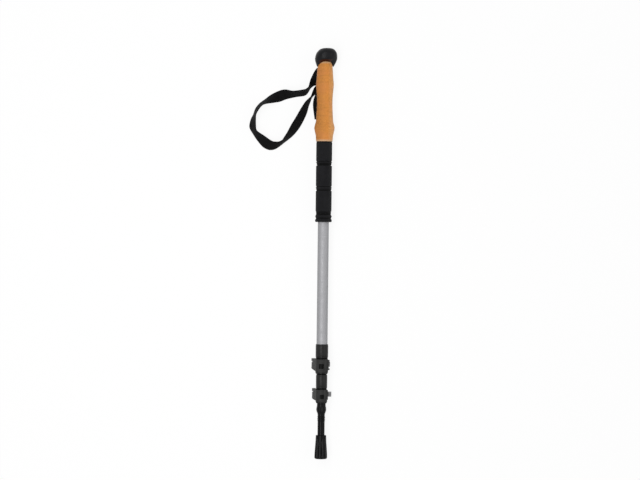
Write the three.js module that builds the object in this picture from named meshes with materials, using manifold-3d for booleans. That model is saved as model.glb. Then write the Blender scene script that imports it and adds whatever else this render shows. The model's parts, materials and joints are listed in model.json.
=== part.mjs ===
// A collapsed three-section trekking pole, lying on a table with its wrist strap spread beside it.
// Millimetres. X runs up the pole from the middle of its rubber sole, Z is up from the table, and the
// strap lies on the +Y side. The axis of the tubes is the X axis.
import * as THREE from 'three';
import { mergeVertices } from 'three/addons/utils/BufferGeometryUtils.js';
import Module from 'manifold-3d';

const wasm = await Module();
wasm.setup();

// Sides of round pieces and steps of curves
const ROUND = 32;
const SMALL_ROUND = 20;
const DOME_STEPS = 16;
const CORK_STEPS = 30;
const TURN = 2 * Math.PI;
const HALF = 0.5;

// One overrun for every cut
const OVERRUN = 1;

// Gaps between pieces that touch, slide or turn
const gap = {
  fixed: 0.15,
  seat: 0.3,
  slide: 0.12,
  turn: 0.25,
};

// Telescoping tubes, each one sliding inside the one above
const tubes = {
  upperRadius: 9,
  wall: 0.8,
  clearance: 0.2,
  lowerLength: 470,
  middleExtraLength: 12,
  topInset: 20,
  plugDepth: 15,
  plugCollarLength: 6,
  plugBoreRadius: 3,
  plugLeadLength: 0.5,
  plugClearance: 5.55,
};
tubes.middleLength = tubes.lowerLength + tubes.middleExtraLength;
tubes.upperBore = tubes.upperRadius - tubes.wall;
tubes.middleRadius = tubes.upperBore - tubes.clearance;
tubes.middleBore = tubes.middleRadius - tubes.wall;
tubes.lowerRadius = tubes.middleBore - tubes.clearance;
tubes.lowerBore = tubes.lowerRadius - tubes.wall;

// Rubber protector on the tip
const protector = {
  length: 38.6,
  soleRadius: 9.2,
  skirtRadius: 10.5,
  mouthRadius: 8.6,
  soleRoundRadius: 2.4,
  lipRoundRadius: 0.6,
  fluteCount: 12,
  flutePhaseDeg: -10,
  fluteDepth: 1.3,
  fluteInset: 2.6,
  fluteLength: 30.4,
  soleThickness: 7.5,
  pocketRadius: 3.2,
  socketInset: 15,
  mouthChamfer: 1.4,
};
// How far along the body its radius has been reached, and what share of the taper is left there
const protectorTaperShares = [[0, 1], [0.1, 1], [0.45, 0.62], [0.78, 0.14], [1, 0]];

// Tip ferrule with its basket thread and ribbed seat
const ferrule = {
  shaftRadius: 5.8,
  noseRadius: 4.2,
  noseLength: 9,
  noseClearance: 0.6,
  tipBoreRadius: 2.7,
  tipBoreDepth: 15,
  threadInset: 62,
  threadLength: 8,
  threadHeight: 0.75,
  threadCrests: 3,
  neckHeight: 0.4,
  flareInset: 73,
  flareLength: 8,
  flareRadius: 7.6,
  ribCount: 10,
  ribHeight: 0.5,
  topLength: 5,
  topRadius: 7.25,
  length: 90,
  spigotLength: 22,
  spigotChamfer: 1,
};

// Carbide tip pressed into the ferrule
const carbide = {
  tipLength: 6.6,
  crownRadius: 2,
  cupDepth: 0.7,
  cupRadius: 1.2,
};

// Lever locks. The lengths of each lock's clamp and of the sleeve above it are their own
const lock = {
  tipClearance: 0.7,
  colletWall: 0.9,
  collarWall: 1.25,
  leverWall: 1.35,
  sleeveWall: 1.1,
  lipHeight: 0.6,
  lipLength: 1.5,
  slitWidth: 1.2,
  slitCount: 4,
  stopLength: 1.6,
  neckLength: 2.5,
  neckDepth: 0.8,
  splitWidth: 1.8,
  earTipReach: 9.3,
  earHeadReach: 7,
  boltDepth: 2.6,
  boltRadius: 2,
  boltHoleRadius: 2.2,
  barrelRadius: 3.1,
  barrelHalfLength: 4.3,
  pinRadius: 1.5,
  pinHoleRadius: 1.65,
  saddleThickness: 1.3,
  saddleRadius: 4.2,
  camRadius: 4.4,
  camOffset: 0.55,
  forkLength: 6.1,
  wingLength: 9.6,
  leverFootInset: 3.3,
  leverHeadInset: 2.6,
  wrapStartDeg: -15,
  wrapEndDeg: 134,
  tabLength: 4.2,
  finLength: 2.4,
  finHeight: 5,
  nutHubRadius: 3,
  nutRadius: 4.2,
  nutTeeth: 18,
  nutToothDepth: 0.45,
  recessDepth: 0.6,
  recessTipReach: 6.5,
};
// Where the bolt crosses the clamp, as a share of the clamp's length
const boltShare = 0.57;
const lowerClamp = {
  clampLength: 25, sleeveLength: 22, earWidth: 5.1, finWidth: 10.2, nutHubLength: 3, nutLength: 7.9,
  recessSize: 7, recessShift: -0.7,
};
const upperClamp = {
  clampLength: 26.9, sleeveLength: 21.8, earWidth: 6.5, finWidth: 12.9, nutHubLength: 1.6, nutLength: 5.4,
  recessSize: 8.2, recessShift: 0.7,
};
const lockGap = 0.9;

// Grip: cork handle, foam extension and the head
const grip = {
  foamLength: 117.6,
  foamRadius: 13,
  foamNeckRadius: 12.3,
  foamNeckLength: 5,
  endRingLength: 13,
  corkLength: 131.5,
  corkRadius: 16.6,
  grooveDepth: 0.9,
  grooveLength: 5,
  edgeRadius: 0.8,
};
// Groove positions along the foam, and the depth of each against the deepest
const foamGrooveShares = [[0.34, 0.75], [0.69, 1.1]];
// Radius of the end ring against the foam's radius, along its length
const endRingShares = [
  [0, 0.985], [0.06, 1.035], [0.2, 1.045], [0.3, 1.03], [0.4, 0.965], [0.52, 0.955], [0.6, 1.01],
  [0.7, 1.025], [0.8, 1.01], [0.88, 0.95], [1, 0.945],
];
// Radius of the cork against its widest radius, along its length
const corkShares = [
  [0, 0.8], [0.037, 0.831], [0.074, 0.849], [0.111, 0.91], [0.149, 0.979], [0.18, 1], [0.223, 0.922],
  [0.26, 0.852], [0.373, 0.795], [0.485, 0.765], [0.597, 0.801], [0.708, 0.873], [0.783, 0.825],
  [0.895, 0.759], [0.942, 0.723], [0.985, 0.65], [1, 0.57],
];
// The palm side stays on the turned profile, and the finger side stands out by this share of it
const corkFrontShare = 0.1;

// Head of the grip: a domed cap that leans to one side, with a saddle-shaped rim on a stem
const head = {
  radius: 18.15,
  skirtDepth: 8.65,
  rimRiseHeight: 9,
  domeHeight: 22.05,
  leanOffset: 2.9,
  rimOffset: 0.2,
  frontShare: 0.05,
  hollowGap: 0.5,
  lipDepth: 0.2,
  neckRadius: 9.2,
  stemDepth: 18,
};
// Outline of the dome: share of the way from rim to top, and share of the full radius
const domeShares = [
  [0, 0.735], [0.07, 0.793], [0.175, 0.876], [0.28, 0.945], [0.39, 0.993], [0.47, 1], [0.6, 0.975],
  [0.71, 0.925], [0.79, 0.85], [0.865, 0.755], [0.925, 0.645], [0.97, 0.48], [0.99, 0.33], [1, 0.14],
];

// Wrist strap of flat webbing, its slot in the head, the pin that it goes round and the wedge
const strap = {
  width: 18,
  thickness: 1.2,
  tableGap: 0.1,
  layerGap: 0.15,
  loopLength: 120,
  steps: 76,
  slotInset: 5.15,
  slotMargin: 0.4,
  pinRadius: 1.6,
  pinDepth: 4,
  bendRadius: 1.8,
  tailLength: 88,
  wedgeLength: 3.4,
  wedgeDepth: 7.5,
  wedgeTaper: 0.7,
};
// Loop stations round the strap from one leg to the other: outer edge down and out, inner edge down and
// out, all as shares of the loop, then the webbing's slope at each edge in right angles, and how many
// layers of webbing it lies on
const strapStationShares = [
  [0.082, 0.116, 0.082, -0.053, 0, 0, 2],
  [0.115, 0.135, 0.155, -0.015, 0, 0, 2],
  [0.183, 0.173, 0.25, 0.06, -0.12, 0, 2],
  [0.254, 0.2, 0.279, 0.15, -0.72, -0.5, 1.9],
  [0.298, 0.216, 0.318, 0.201, -0.87, -0.82, 0.4],
  [0.328, 0.248, 0.366, 0.228, -0.85, -0.8, 0],
  [0.342, 0.29, 0.412, 0.274, -0.7, -0.65, 0],
  [0.361, 0.434, 0.433, 0.397, -0.6, -0.6, 0],
  [0.343, 0.536, 0.463, 0.52, -0.35, -0.35, 0],
  [0.368, 0.615, 0.498, 0.613, 0.2, -0.3, 0],
  [0.42, 0.723, 0.513, 0.712, 0.75, 0.15, 0],
  [0.477, 0.796, 0.524, 0.786, 0.85, 0.7, 0],
  [0.536, 0.874, 0.547, 0.846, 0.88, 0.85, 0],
  [0.601, 0.926, 0.607, 0.903, 0.9, 0.88, 0],
  [0.68, 0.958, 0.68, 0.941, 0.9, 0.88, 0],
  [0.747, 0.989, 0.753, 0.946, 0.75, 0.85, 0],
  [0.826, 1.012, 0.835, 0.945, 0.6, 0.8, 0],
  [0.877, 1.002, 0.897, 0.938, 0.65, 0.75, 0],
  [0.949, 0.95, 0.929, 0.896, 0.8, 0.6, 0],
  [1.03, 0.899, 0.971, 0.826, 0.65, 0.5, 0],
  [1.108, 0.833, 1.015, 0.76, 0.5, 0.3, 0],
  [1.142, 0.773, 1.045, 0.709, 0.45, 0.35, 0],
  [1.152, 0.723, 1.053, 0.671, 0.45, 0.45, 0],
  [1.138, 0.672, 1.052, 0.617, 0.6, 0.45, 0],
  [1.102, 0.615, 1.03, 0.572, 0.75, 0.45, 0],
  [1.058, 0.557, 1.007, 0.555, 0.88, 0.5, 0],
  [0.978, 0.448, 0.919, 0.503, 0.8, 0.3, 0],
  [0.891, 0.369, 0.822, 0.456, 0.6, 0.15, 0],
  [0.803, 0.313, 0.729, 0.398, 0.45, 0.4, 0],
  [0.717, 0.271, 0.644, 0.349, 0.5, 0.5, 0],
  [0.644, 0.242, 0.577, 0.309, 0.6, 0.6, 0],
  [0.558, 0.221, 0.508, 0.262, 0.75, 0.75, 0],
  [0.498, 0.199, 0.468, 0.222, 0.88, 0.85, 0],
  [0.442, 0.178, 0.433, 0.188, 0.92, 0.92, 0],
  [0.404, 0.142, 0.379, 0.168, 0.8, 0.85, 0.7],
  [0.367, 0.079, 0.322, 0.147, 0.35, 0.75, 1],
  [0.313, 0.005, 0.267, 0.122, 0, 0.03, 1],
  [0.225, -0.042, 0.175, 0.096, 0, 0, 1],
  [0.082, -0.07, 0.082, 0.08, 0, 0, 1],
];

// How far the loose tail has strayed sideways along its length, against the webbing's width
const tailShiftShares = [
  [0, 0.41], [0.12, 0.49], [0.25, 0.52], [0.34, 0.46], [0.43, 0.34], [0.6, 0.15], [0.75, 0.04], [0.86, 0],
  [0.96, 0],
];

// Stations along the pole that follow from the lengths above
const lowerLockStart = ferrule.length + lock.tipClearance;
const upperLockStart = lowerLockStart + lowerClamp.clampLength + lowerClamp.sleeveLength + lockGap;
const middleStart = lowerLockStart + lowerClamp.clampLength + lock.stopLength + gap.fixed;
const middleEnd = middleStart + tubes.middleLength;
const stemStart = middleEnd + gap.fixed + tubes.plugCollarLength + tubes.plugClearance;
const upperTubeEnd = stemStart + head.stemDepth;
const corkEnd = upperTubeEnd + tubes.topInset;
const corkStart = corkEnd - grip.corkLength;
const foamStart = corkStart - gap.fixed - grip.foamLength - grip.endRingLength;
const headRim = corkEnd - head.skirtDepth;
const headTop = corkEnd + head.domeHeight;
const slotX = corkEnd - strap.slotInset;
const groundZ = -head.radius;

// Solids from three.js geometries, and back again
function solid(geometry) {
  const bare = geometry.clone();
  bare.deleteAttribute('normal');
  bare.deleteAttribute('uv');
  const merged = mergeVertices(bare);
  const vertProperties = new Float32Array(merged.attributes.position.array);
  const triVerts = new Uint32Array(merged.index.array);
  return new wasm.Manifold(new wasm.Mesh({ numProp: 3, vertProperties, triVerts }));
}

function geometryOf(body) {
  const mesh = body.getMesh();
  const geometry = new THREE.BufferGeometry();
  geometry.setAttribute('position', new THREE.BufferAttribute(new Float32Array(mesh.vertProperties), mesh.numProp));
  geometry.setIndex(new THREE.BufferAttribute(new Uint32Array(mesh.triVerts), 1));
  return geometry;
}

// A closed outline of [x, radius] points turned round the X axis
function turned(outline, sides = ROUND) {
  const points = outline.map(([x, r]) => new THREE.Vector2(r, x));
  return solid(new THREE.LatheGeometry(points, sides).rotateZ(-TURN / 4));
}

// A solid of revolution that reaches the axis at both ends
function turnedSolid(outline, sides = ROUND) {
  const first = outline[0];
  const last = outline[outline.length - 1];
  return turned([[first[0], 0], ...outline, [last[0], 0]], sides);
}

// A tube between two radii
function turnedTube(start, end, inner, outer, sides = ROUND) {
  return turned([[start, inner], [start, outer], [end, outer], [end, inner], [start, inner]], sides);
}

function along(x, y, z) {
  return new THREE.Matrix4().makeBasis(x, y, z);
}
const AXIS_X = new THREE.Vector3(1, 0, 0);
const AXIS_Y = new THREE.Vector3(0, 1, 0);
const AXIS_Z = new THREE.Vector3(0, 0, 1);

// A (y, z) outline extruded along X
function prismX(shape, start, end) {
  const geometry = new THREE.ExtrudeGeometry(shape, { depth: end - start, bevelEnabled: false, curveSegments: SMALL_ROUND });
  return solid(geometry.applyMatrix4(along(AXIS_Y, AXIS_Z, AXIS_X)).translate(start, 0, 0));
}

// An (x, y) outline extruded along Z
function prismZ(shape, start, end) {
  const geometry = new THREE.ExtrudeGeometry(shape, { depth: end - start, bevelEnabled: false, curveSegments: SMALL_ROUND });
  return solid(geometry.translate(0, 0, start));
}

// A box between two corners
function block(low, high) {
  const size = high.map((value, i) => value - low[i]);
  const middle = high.map((value, i) => (value + low[i]) * HALF);
  return solid(new THREE.BoxGeometry(...size).translate(...middle));
}

// A cylinder along X or Y
function rodX(start, end, radius, y, z, sides = SMALL_ROUND) {
  const geometry = new THREE.CylinderGeometry(radius, radius, end - start, sides).rotateZ(-TURN / 4);
  return solid(geometry.translate((start + end) * HALF, y, z));
}

function rodY(start, end, radius, x, z, sides = SMALL_ROUND) {
  const geometry = new THREE.CylinderGeometry(radius, radius, end - start, sides);
  return solid(geometry.translate(x, (start + end) * HALF, z));
}

// A closed skin through rings of points, capped at both ends
function lofted(rings) {
  const sides = rings[0].length;
  const positions = rings.flat(2);
  const index = [];
  for (let i = 0; i < rings.length - 1; i++) {
    for (let j = 0; j < sides; j++) {
      const a = i * sides + j;
      const b = i * sides + ((j + 1) % sides);
      index.push(a, b, b + sides, a, b + sides, a + sides);
    }
  }
  const last = (rings.length - 1) * sides;
  for (let j = 1; j < sides - 1; j++) {
    index.push(0, j + 1, j);
    index.push(last, last + j, last + j + 1);
  }
  const geometry = new THREE.BufferGeometry();
  geometry.setAttribute('position', new THREE.Float32BufferAttribute(positions, 3));
  geometry.setIndex(index);
  return solid(geometry);
}

// A ring of points round the X axis, from functions of the angle for its station and radius
function ring(sides, stationAt, radiusAt) {
  return Array.from({ length: sides }, (_, i) => {
    const angle = (i / sides) * TURN;
    const radius = radiusAt(angle);
    return [stationAt(angle), radius * Math.cos(angle), radius * Math.sin(angle)];
  });
}

// A table of [share, value] pairs read at any share
function readTable(table, share) {
  const next = table.findIndex(([at]) => at >= share);
  if (next < 1) return table[next < 0 ? table.length - 1 : 0][1];
  const [before, low] = table[next - 1];
  const [after, high] = table[next];
  return low + ((high - low) * (share - before)) / (after - before);
}

// A smooth curve through a table of shares
function smoothOutline(table, steps, toPoint) {
  const curve = new THREE.SplineCurve(table.map(([at, value]) => new THREE.Vector2(at, value)));
  return curve.getPoints(steps).map((point) => toPoint(point.x, point.y));
}

// Meshes
const pole = new THREE.Group();
const materials = {
  rubber: { color: 0x141414, roughness: 0.35, metalness: 0 },
  blackPlastic: { color: 0x161616, roughness: 0.42, metalness: 0 },
  greyPlastic: { color: 0x3c3c3e, roughness: 0.5, metalness: 0 },
  cork: { color: 0xd08c46, roughness: 0.85, metalness: 0 },
  foam: { color: 0x1d1c1e, roughness: 0.9, metalness: 0 },
  aluminium: { color: 0xa7a6a9, roughness: 0.35, metalness: 0.9 },
  darkTube: { color: 0x2a2a2c, roughness: 0.35, metalness: 0.8 },
  steel: { color: 0xb9b9ba, roughness: 0.3, metalness: 1 },
  carbide: { color: 0x77787a, roughness: 0.4, metalness: 1 },
  webbing: { color: 0x18181a, roughness: 0.9, metalness: 0 },
};

function add(name, body, finish) {
  const mesh = new THREE.Mesh(geometryOf(body), new THREE.MeshStandardMaterial(materials[finish]));
  mesh.name = name;
  pole.add(mesh);
}

// Rubber protector: a fluted bell with a socket for the ferrule
function tipProtector() {
  const p = protector;
  const bodyRadius = (x) => {
    const taper = readTable(protectorTaperShares, x / p.length);
    return p.mouthRadius + (p.skirtRadius - p.mouthRadius) * taper;
  };
  const flutePhase = (p.flutePhaseDeg * TURN) / 360;
  const fluteAt = (x, angle) => {
    const share = (x - p.fluteInset) / p.fluteLength;
    const swell = share <= 0 || share >= 1 ? 0 : Math.sin(Math.PI * Math.sqrt(share));
    return p.fluteDepth * swell * Math.abs(Math.sin((angle - flutePhase) * p.fluteCount * HALF));
  };
  const sides = p.fluteCount * 6;
  const rings = [ring(sides, () => 0, () => p.soleRadius)];
  rings.push(ring(sides, () => p.soleRoundRadius * 0.3, () => p.soleRadius * 0.45 + p.skirtRadius * 0.55));
  const stations = 9;
  for (let i = 0; i <= stations; i++) {
    const x = p.soleRoundRadius + ((p.length - p.lipRoundRadius - p.soleRoundRadius) * i) / stations;
    rings.push(ring(sides, () => x, (angle) => bodyRadius(x) - fluteAt(x, angle)));
  }
  rings.push(ring(sides, () => p.length, () => p.mouthRadius - p.lipRoundRadius));
  const socketRadius = ferrule.shaftRadius + gap.fixed;
  const socket = turnedSolid([
    [p.soleThickness, p.pocketRadius],
    [p.socketInset, p.pocketRadius],
    [p.socketInset, socketRadius],
    [p.length - p.mouthChamfer, socketRadius],
    [p.length + OVERRUN, socketRadius + p.mouthChamfer + OVERRUN],
  ]);
  return lofted(rings).subtract(socket);
}

// Ferrule: nose, shaft, basket thread, ribbed flare and the spigot inside the lower tube
function tipFerrule() {
  const f = ferrule;
  const nose = protector.socketInset + f.noseClearance;
  const sides = f.ribCount * 4;
  const plain = (x, r) => ring(sides, () => x, () => r);
  const ribbed = (x, r, share) => ring(sides, () => x, (angle) => {
    const rib = Math.max(0, Math.cos(angle * f.ribCount));
    return r + f.ribHeight * share * rib;
  });
  const rings = [
    plain(nose, f.noseRadius),
    plain(nose + f.noseLength, f.shaftRadius),
    plain(f.threadInset - f.threadHeight, f.shaftRadius),
  ];
  const crest = f.threadLength / f.threadCrests;
  for (let i = 0; i < f.threadCrests; i++) {
    const x = f.threadInset + crest * i;
    rings.push(plain(x, f.shaftRadius + f.threadHeight));
    rings.push(plain(x + crest * HALF, f.shaftRadius + f.threadHeight));
    rings.push(plain(x + crest * 0.75, f.shaftRadius + f.neckHeight));
  }
  rings.push(plain(f.flareInset, f.shaftRadius + f.neckHeight));
  rings.push(ribbed(f.flareInset + f.flareLength * 0.2, f.shaftRadius + f.threadHeight, HALF));
  rings.push(ribbed(f.flareInset + f.flareLength, f.flareRadius, 1));
  rings.push(ribbed(f.length - f.topLength, f.topRadius, HALF));
  rings.push(plain(f.length - f.topLength * HALF, f.topRadius));
  rings.push(plain(f.length, f.topRadius));
  const spigotRadius = tubes.lowerBore - gap.fixed;
  rings.push(plain(f.length, spigotRadius));
  rings.push(plain(f.length + f.spigotLength, spigotRadius));
  rings.push(plain(f.length + f.spigotLength + f.spigotChamfer, spigotRadius - f.spigotChamfer));
  const bore = turnedSolid([[nose - OVERRUN, f.tipBoreRadius], [nose + f.tipBoreDepth, f.tipBoreRadius]]);
  return lofted(rings).subtract(bore);
}

// Carbide tip with a cupped crown
function carbideTip() {
  const c = carbide;
  const nose = protector.socketInset + ferrule.noseClearance;
  const shank = ferrule.tipBoreRadius - gap.fixed;
  return turnedSolid([
    [nose - c.tipLength + c.cupDepth, c.cupRadius * HALF],
    [nose - c.tipLength, c.cupRadius],
    [nose - c.tipLength, c.crownRadius],
    [nose, shank],
    [nose + ferrule.tipBoreDepth - gap.seat, shank],
  ], SMALL_ROUND);
}

// Plastic guide plug in the top of a sliding tube
function guidePlug(tubeEnd, tubeBore, outerBore) {
  const t = tubes;
  const spigot = tubeBore - gap.fixed;
  const collar = outerBore - gap.slide;
  const seat = tubeEnd + gap.fixed;
  const end = seat + t.plugCollarLength;
  return turned([
    [seat - t.plugDepth, t.plugBoreRadius],
    [seat - t.plugDepth, spigot - t.plugLeadLength],
    [seat - t.plugDepth + t.plugLeadLength, spigot],
    [seat, spigot],
    [seat, collar - t.plugLeadLength],
    [seat + t.plugLeadLength, collar],
    [end - t.plugLeadLength, collar],
    [end, collar - t.plugLeadLength],
    [end, t.plugBoreRadius],
    [seat - t.plugDepth, t.plugBoreRadius],
  ]);
}

// The sizes of one lever lock that follow from the tubes that it joins
function lockSizes(start, lengths, innerTube, outerTube) {
  const s = { start, innerTube, outerTube, ...lengths };
  s.end = start + lengths.clampLength;
  s.sleeveEnd = s.end + lengths.sleeveLength;
  s.colletInner = innerTube + gap.slide;
  s.colletOuter = s.colletInner + lock.colletWall;
  s.collarInner = s.colletOuter + gap.fixed;
  s.collarOuter = s.collarInner + lock.collarWall;
  s.leverInner = s.collarOuter + gap.turn;
  s.leverOuter = s.leverInner + lock.leverWall;
  s.boltX = start + lengths.clampLength * boltShare;
  s.boltZ = -(s.collarOuter + lock.boltDepth);
  s.saddleStart = s.earWidth + gap.fixed;
  s.saddleEnd = s.saddleStart + lock.saddleThickness;
  s.pinY = s.saddleEnd + gap.turn + lock.camRadius + lock.camOffset;
  s.tubeSeat = s.end + lock.stopLength;
  return s;
}

// Slotted collet and the sleeve over the outer tube, one moulding
function lockSleeve(s) {
  const l = lock;
  const sleeveInner = s.outerTube + gap.fixed;
  const sleeveOuter = s.outerTube + l.sleeveWall + gap.fixed;
  const body = turned([
    [s.start, s.colletInner],
    [s.start, s.colletOuter],
    [s.start + l.lipLength * 0.3, s.colletOuter + l.lipHeight],
    [s.start + l.lipLength, s.colletOuter + l.lipHeight],
    [s.start + l.lipLength, s.colletOuter],
    [s.end, s.colletOuter],
    [s.end, sleeveOuter - l.lipHeight],
    [s.end + l.lipHeight, sleeveOuter],
    [s.sleeveEnd - l.lipHeight, sleeveOuter],
    [s.sleeveEnd, sleeveOuter - l.lipHeight * HALF],
    [s.sleeveEnd, sleeveInner],
    [s.tubeSeat, sleeveInner],
    [s.tubeSeat, s.colletInner],
    [s.start, s.colletInner],
  ]);
  const slitEnd = s.end - l.lipLength;
  let slotted = body;
  for (let i = 0; i < l.slitCount / 2; i++) {
    const geometry = new THREE.BoxGeometry(
      slitEnd - s.start + OVERRUN, l.slitWidth, 2 * (s.collarOuter + OVERRUN));
    geometry.translate((slitEnd + s.start - OVERRUN) * HALF, 0, 0);
    geometry.rotateX(TURN / 8 + (i * TURN) / l.slitCount);
    slotted = slotted.subtract(solid(geometry));
  }
  return slotted;
}

// Clamp collar: a split ring with two ears on the table side and two fins that guard the nut
function lockCollar(s) {
  const l = lock;
  const ringStart = s.start + l.lipLength + gap.fixed;
  const ringEnd = s.end - gap.fixed;
  const foot = groundZ;
  const chamfer = l.collarWall * HALF;
  const band = turned([
    [ringStart, s.collarInner],
    [ringStart, s.collarOuter - chamfer],
    [ringStart + 2 * chamfer, s.collarOuter],
    [ringEnd - l.neckLength, s.collarOuter],
    [ringEnd - l.neckLength, s.collarOuter - l.neckDepth],
    [ringEnd, s.collarOuter - l.neckDepth],
    [ringEnd, s.collarInner],
    [ringStart, s.collarInner],
  ]);
  const ears = block(
    [s.boltX - l.earTipReach, -s.earWidth, foot],
    [s.boltX + l.earHeadReach, s.earWidth, -s.collarInner * HALF]);
  const fin = (x) => block(
    [x - l.finLength * HALF, -s.finWidth, s.boltZ - l.finHeight * HALF],
    [x + l.finLength * HALF, -s.earWidth + gap.seat, s.boltZ + l.finHeight]);
  const tipFin = s.boltX - l.earTipReach + l.finLength * HALF;
  const headFin = s.boltX + l.earHeadReach - l.finLength * HALF;
  const bore = turnedSolid([[s.start, s.collarInner], [s.end, s.collarInner]]);
  const split = block(
    [s.start, -l.splitWidth * HALF, foot - OVERRUN],
    [s.end, l.splitWidth * HALF, 0]);
  const hole = rodY(-s.finWidth - OVERRUN, s.earWidth + OVERRUN, l.boltHoleRadius, s.boltX, s.boltZ);
  return band.add(ears).add(fin(tipFin)).add(fin(headFin))
    .subtract(bore).subtract(split).subtract(hole);
}

// Lever: a band that wraps the clamp, with a forked cam at one end and a finger tab at the other
function lockLever(s) {
  const l = lock;
  const start = (l.wrapStartDeg * TURN) / 360;
  const end = (l.wrapEndDeg * TURN) / 360;
  const at = (radius, angle) => [radius * Math.cos(angle), radius * Math.sin(angle)];
  const tab = (radius) => {
    const [y, z] = at(radius, end);
    return [y - l.tabLength * Math.sin(end), z + l.tabLength * Math.cos(end)];
  };
  const camTop = s.boltZ + l.camRadius;
  const camFar = s.pinY - l.camOffset + l.camRadius;
  const wing = Math.PI / 9;
  const band = new THREE.Shape();
  band.moveTo(...at(s.leverInner, start));
  band.absarc(0, 0, s.leverInner, start, end, false);
  band.lineTo(...tab(s.leverInner));
  band.lineTo(...tab(s.leverOuter));
  band.absarc(0, 0, s.leverOuter, end, wing, true);
  band.quadraticCurveTo(camFar, (camTop + s.boltZ) * 0.2, camFar, s.boltZ);
  band.lineTo(s.pinY, s.boltZ);
  band.lineTo(s.saddleEnd + gap.turn + l.camOffset + l.leverWall, camTop - l.leverWall * HALF);
  band.closePath();
  const length = [s.start + l.leverFootInset, s.end];
  const shoulder = s.end - l.leverHeadInset;
  const cam = rodX(length[0], length[1], l.camRadius, s.pinY - l.camOffset, s.boltZ, ROUND);
  const body = prismX(band, length[0], length[1]).add(cam);
  const shield = new THREE.Shape([
    [length[0], -s.collarInner * 0.8],
    [length[0], s.collarInner * 0.85],
    [s.boltX - l.forkLength, camFar + OVERRUN],
    [s.boltX + l.wingLength, camFar + OVERRUN],
    [s.boltX + l.wingLength, s.collarOuter],
    [shoulder, s.collarOuter * 0.85],
    [shoulder, -s.collarOuter * 0.75],
    [shoulder - l.leverHeadInset * HALF, -s.leverOuter - OVERRUN],
    [s.boltX - l.forkLength, -s.leverOuter - OVERRUN],
  ].map(([x, y]) => new THREE.Vector2(x, y)));
  const outline = prismZ(shield, groundZ, s.leverOuter + OVERRUN);
  const slotHalf = l.barrelHalfLength + gap.turn;
  const slot = block(
    [s.boltX - slotHalf, s.saddleStart, groundZ - OVERRUN],
    [s.boltX + slotHalf, camFar + OVERRUN, s.boltZ + l.barrelRadius + gap.turn]);
  const hole = rodX(s.start, s.end, l.pinHoleRadius, s.pinY, s.boltZ);
  const pocketFloor = s.leverOuter - l.recessDepth;
  const pocket = turnedTube(s.start, s.end, pocketFloor, s.leverOuter + OVERRUN).intersect(block(
    [s.boltX - l.recessTipReach, s.recessShift - s.recessSize * HALF, 0],
    [s.boltX - l.recessTipReach + s.recessSize, s.recessShift + s.recessSize * HALF, s.leverOuter + 2 * OVERRUN]));
  return body.intersect(outline).subtract(slot).subtract(hole).subtract(pocket);
}

// Steel pin that the lever turns on
function camPin(s) {
  const start = s.boltX - lock.forkLength + gap.seat;
  const end = s.boltX + lock.wingLength - gap.seat;
  return rodX(start, end, lock.pinRadius, s.pinY, s.boltZ);
}

// Bolt across the ears, with a cross barrel for the cam pin
function tensionBolt(s) {
  const l = lock;
  const nutEnd = -(s.earWidth + gap.fixed + s.nutHubLength + s.nutLength);
  const shank = rodY(nutEnd + gap.seat, s.pinY, l.boltRadius, s.boltX, s.boltZ);
  const half = l.barrelHalfLength;
  const barrel = rodX(s.boltX - half, s.boltX + half, l.barrelRadius, s.pinY, s.boltZ);
  const hole = rodX(s.boltX - half - OVERRUN, s.boltX + half + OVERRUN, l.pinHoleRadius, s.pinY, s.boltZ);
  return shank.add(barrel).subtract(hole);
}

// Saddle washer between the cam and the ear
function camSaddle(s) {
  const l = lock;
  const disc = rodY(s.saddleStart, s.saddleEnd, l.saddleRadius, s.boltX, s.boltZ);
  const hole = rodY(s.saddleStart - OVERRUN, s.saddleEnd + OVERRUN, l.boltHoleRadius, s.boltX, s.boltZ);
  return disc.subtract(hole);
}

// Knurled thumb nut
function thumbNut(s) {
  const l = lock;
  const face = -(s.earWidth + gap.fixed);
  const hub = rodY(face - s.nutHubLength - s.nutLength * HALF, face, l.nutHubRadius, s.boltX, s.boltZ);
  const teeth = new THREE.Shape(Array.from({ length: l.nutTeeth * 2 }, (_, i) => {
    const angle = (i / (l.nutTeeth * 2)) * TURN;
    const radius = l.nutRadius - (i % 2) * l.nutToothDepth;
    return new THREE.Vector2(radius * Math.cos(angle), radius * Math.sin(angle));
  }));
  const wheel = new THREE.ExtrudeGeometry(teeth, { depth: s.nutLength, bevelEnabled: false });
  wheel.rotateX(TURN / 4).translate(s.boltX, face - s.nutHubLength, s.boltZ);
  const bore = rodY(face - s.nutHubLength - s.nutLength - OVERRUN, face + OVERRUN,
    l.boltRadius + gap.fixed, s.boltX, s.boltZ);
  return hub.add(solid(wheel)).subtract(bore);
}

// Foam extension: a grooved sleeve on the upper tube
function foamGrip(start, end) {
  const g = grip;
  const inner = tubes.upperRadius + gap.fixed;
  const outline = [
    [start, inner],
    [start, g.foamNeckRadius],
    [start + g.foamNeckLength - g.edgeRadius, g.foamNeckRadius],
    [start + g.foamNeckLength, g.foamRadius],
  ];
  for (const [share, depthShare] of foamGrooveShares) {
    const x = start + (end - start) * share;
    const floor = g.foamRadius - g.grooveDepth * depthShare;
    const half = g.grooveLength * HALF;
    outline.push([x - half, g.foamRadius], [x - half * 0.7, floor], [x - half * 0.15, floor]);
    outline.push([x, floor + g.grooveDepth * 0.35]);
    outline.push([x + half * 0.15, floor], [x + half * 0.7, floor], [x + half, g.foamRadius]);
  }
  outline.push([end - g.edgeRadius, g.foamRadius], [end, g.foamRadius - g.edgeRadius], [end, inner], [start, inner]);
  return turned(outline);
}

// Beaded ring under the foam
function foamEndRing(start) {
  const inner = tubes.upperRadius + gap.fixed;
  const beads = endRingShares.map(([at, radius]) => [start + grip.endRingLength * at, grip.foamRadius * radius]);
  const end = beads[beads.length - 1][0];
  return turned([[start, inner], ...beads, [end, inner], [start, inner]]);
}

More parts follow.
